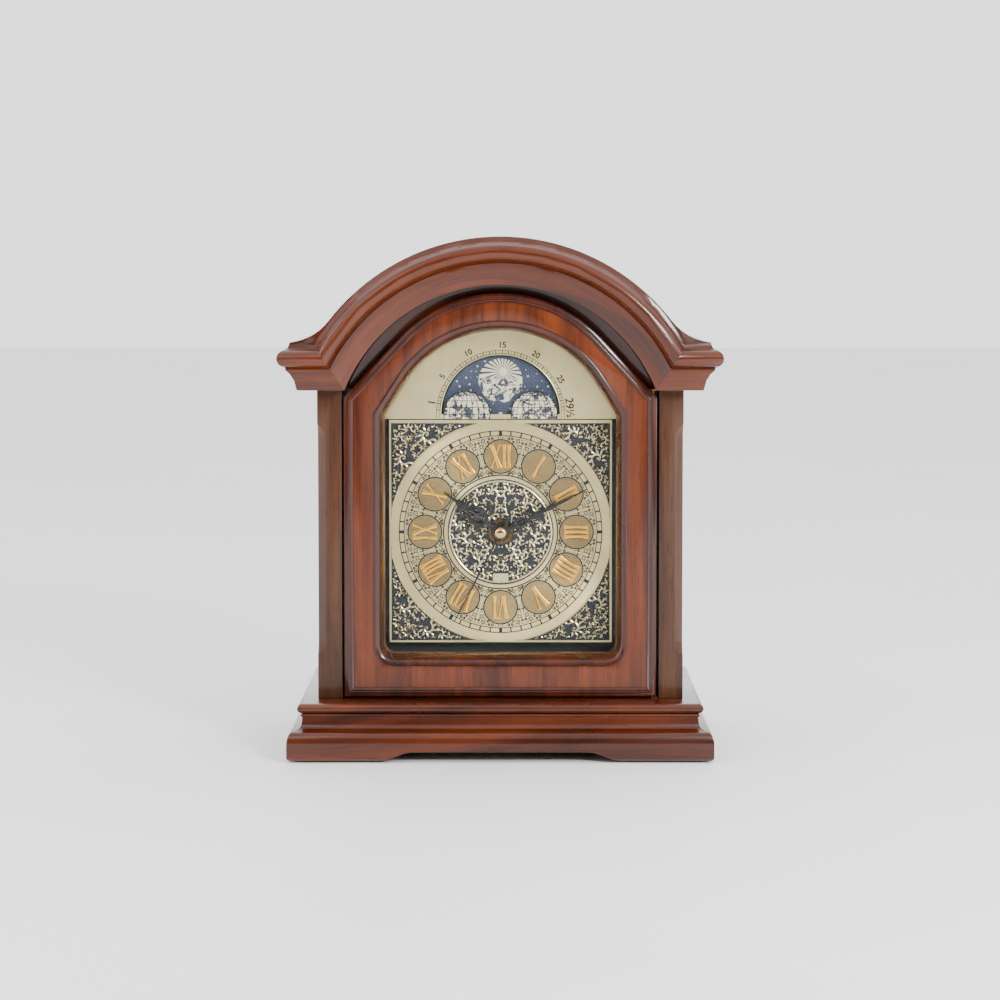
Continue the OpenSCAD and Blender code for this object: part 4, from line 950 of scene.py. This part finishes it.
def curl(draw, x, z, radius, start, hand_side, wide, thick, turns=0.85):
    steps = 16
    path = []
    for i in range(steps + 1):
        t = i / steps
        a = start + hand_side * turns * 2 * math.pi * t
        r = radius * (1 - 0.55 * t)
        path.append((x + r * math.cos(a), z + r * math.sin(a)))
    bar(draw, path, [wide * (1 - 0.45 * i / steps) for i in range(steps + 1)], thick)
    draw.relief.dome(*draw.at(*path[-1]), wide * 0.75, thick, 12)


def both(draw, path, widths, thick):
    bar(draw, path, widths, thick)
    bar(draw, [(-x, z) for x, z in path], widths, thick)


def leaf_bar(draw, z0, z1, wide, thick):
    steps = 14
    path = [(0, z0 + (z1 - z0) * i / steps) for i in range(steps + 1)]
    widths = [max(0.25, wide * math.sin(math.pi * min(1, 0.1 + 0.9 * i / steps)) ** 1.2)
              for i in range(steps + 1)]
    bar(draw, path, widths, thick)


def hour_shape(draw, thick):
    boss(draw, 3.9, 5.4, thick)
    bar(draw, [(0, 5.0), (0, 11)], [2.4, 1.6], thick)
    loop = [(0.2, 10.2), (2.4, 11.6), (4.2, 14.2), (4.6, 17.2), (3.4, 20.2), (1.4, 22.0), (0.0, 23.6)]
    both(draw, loop, [1.2, 1.3, 1.5, 1.6, 1.5, 1.3, 1.1], thick)
    for side in (-1, 1):
        curl(draw, side * 5.9, 13.0, 2.3, math.pi / 2 + side * 1.2, side, 1.1, thick)
        curl(draw, side * 2.2, 16.6, 1.5, -math.pi / 2, -side, 0.8, thick)
        curl(draw, side * 3.3, 24.6, 2.0, -math.pi / 2 - side * 0.9, side, 1.0, thick)
    bar(draw, [(0, 11), (0, 24)], [0.8, 0.8], thick)
    leaf_bar(draw, 22.5, 33.5, 3.6, thick)
    bar(draw, [(0, 32), (0, 41.1)], [1.3, 0.3], thick)


def minute_shape(draw, thick):
    boss(draw, 2.6, 4.4, thick)
    bar(draw, [(0, 4.0), (0, 9)], [2.0, 1.4], thick)
    loop = [(0.1, 8.4), (1.8, 10.0), (2.6, 12.6), (2.0, 15.4), (0.0, 17.6)]
    both(draw, loop, [1.1, 1.2, 1.3, 1.2, 1.0], thick)
    for side in (-1, 1):
        curl(draw, side * 3.6, 11.4, 1.6, math.pi / 2 + side * 1.2, side, 0.9, thick)
        curl(draw, side * 2.4, 18.8, 1.5, -math.pi / 2 - side * 0.9, side, 0.8, thick)
    bar(draw, [(0, 9), (0, 20)], [0.7, 0.7], thick)
    leaf_bar(draw, 18, 30, 2.6, thick)
    leaf_bar(draw, 28, 40, 1.9, thick)
    bar(draw, [(0, 38), (0, 57.2)], [1.3, 0.3], thick)


def second_shape(draw, thick):
    boss(draw, 0.55, 4.0, thick)
    bar(draw, [(0, 3.6), (0, 30), (0, 58.5)], [0.8, 0.65, 0.35], thick)
    bar(draw, [(0, -3.6), (0, -9)], [0.9, 0.8], thick)
    leaf_bar(draw, -8, -13, 2.0, thick)


hand("hour_hand", "hour", hour_shape, 0.6)
hand("minute_hand", "minute", minute_shape, 0.6)
hand("second_hand", "second", second_shape, 0.4)
second_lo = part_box("second_hand")[0]
cap = Relief(DIAL, second_lo.y + 2.0 * MM)
cap.dome(0, 0, 3.55, 2.0, 48, 12)
place_piece(cap.mesh("hand_cap"), "hand_cap", "second", "brass", brass)


# ---------------------------------------------------------------- studio
def floor_piece():
    n = Nodes("studio_floor")
    faint = n.noise(n.place((3, 3, 3)), 1, 3)
    n.colour(n.ramp(faint, (0.3, (0.86, 0.86, 0.86)), (0.7, (0.90, 0.90, 0.90))))
    n.roughness(n.grey(faint, (0.3, 0.5), (0.7, 0.6)))
    bm = bmesh.new()
    bmesh.ops.create_grid(bm, x_segments=1, y_segments=1, size=6)
    mesh = bpy.data.meshes.new("studio_floor")
    bm.to_mesh(mesh)
    bm.free()
    mesh.materials.append(n.material)
    floor = bpy.data.objects.new("studio_floor", mesh)
    bpy.context.scene.collection.objects.link(floor)


def softbox(name, at, aim, size, power):
    data = bpy.data.lights.new(name, "AREA")
    data.shape = "RECTANGLE"
    data.size, data.size_y = size
    data.energy = power
    lamp = bpy.data.objects.new(name, data)
    lamp.location = at
    lamp.rotation_mode = "QUATERNION"
    lamp.rotation_quaternion = (Vector(aim) - Vector(at)).to_track_quat("-Z", "Y")
    bpy.context.scene.collection.objects.link(lamp)


floor_piece()
aim = (0, 0, 0.15)
softbox("key_softbox", (1.15, -1.5, 0.95), aim, (0.45, 0.45), 46)
softbox("fill_softbox", (-1.2, -1.5, 1.1), aim, (1.1, 1.1), 9)
softbox("right_strip", (1.3, -0.6, 0.4), aim, (0.35, 1.3), 11)
softbox("left_strip", (-1.3, -0.4, 0.5), aim, (0.3, 1.2), 9)
sun = bpy.data.lights.new("overhead", "SUN")
sun.energy = 2.6
sun.angle = math.radians(100)
overhead = bpy.data.objects.new("overhead", sun)
overhead.rotation_euler = (math.radians(12), 0, 0)
bpy.context.scene.collection.objects.link(overhead)
world = bpy.data.worlds.new("studio_world")
world.use_nodes = True
tree = world.node_tree
coord = tree.nodes.new("ShaderNodeTexCoord")
heading = tree.nodes.new("ShaderNodeSeparateXYZ")
fade = tree.nodes.new("ShaderNodeMapRange")         # a pale backdrop, and a dim room in front of it
fade.inputs["From Min"].default_value = -0.6
fade.inputs["From Max"].default_value = 0.7
fade.inputs["To Min"].default_value = 0.14
fade.inputs["To Max"].default_value = 2.1
tree.links.new(coord.outputs["Generated"], heading.inputs[0])
tree.links.new(heading.outputs[1], fade.inputs["Value"])
tree.links.new(fade.outputs[0], tree.nodes["Background"].inputs["Strength"])
tree.nodes["Background"].inputs["Color"].default_value = (0.97, 0.98, 1.0, 1)
bpy.context.scene.world = world

lens = bpy.data.cameras.new("camera")
lens.lens = 82.8
lens.sensor_width = 36
lens.shift_x = -0.0125
lens.shift_y = -0.122
lens.dof.use_dof = False
camera = bpy.data.objects.new("camera", lens)
camera.location = (0.007, -1.365, 0.2886)
camera.rotation_euler = (math.radians(90 - 3), 0, 0)
bpy.context.scene.collection.objects.link(camera)
bpy.context.scene.camera = camera
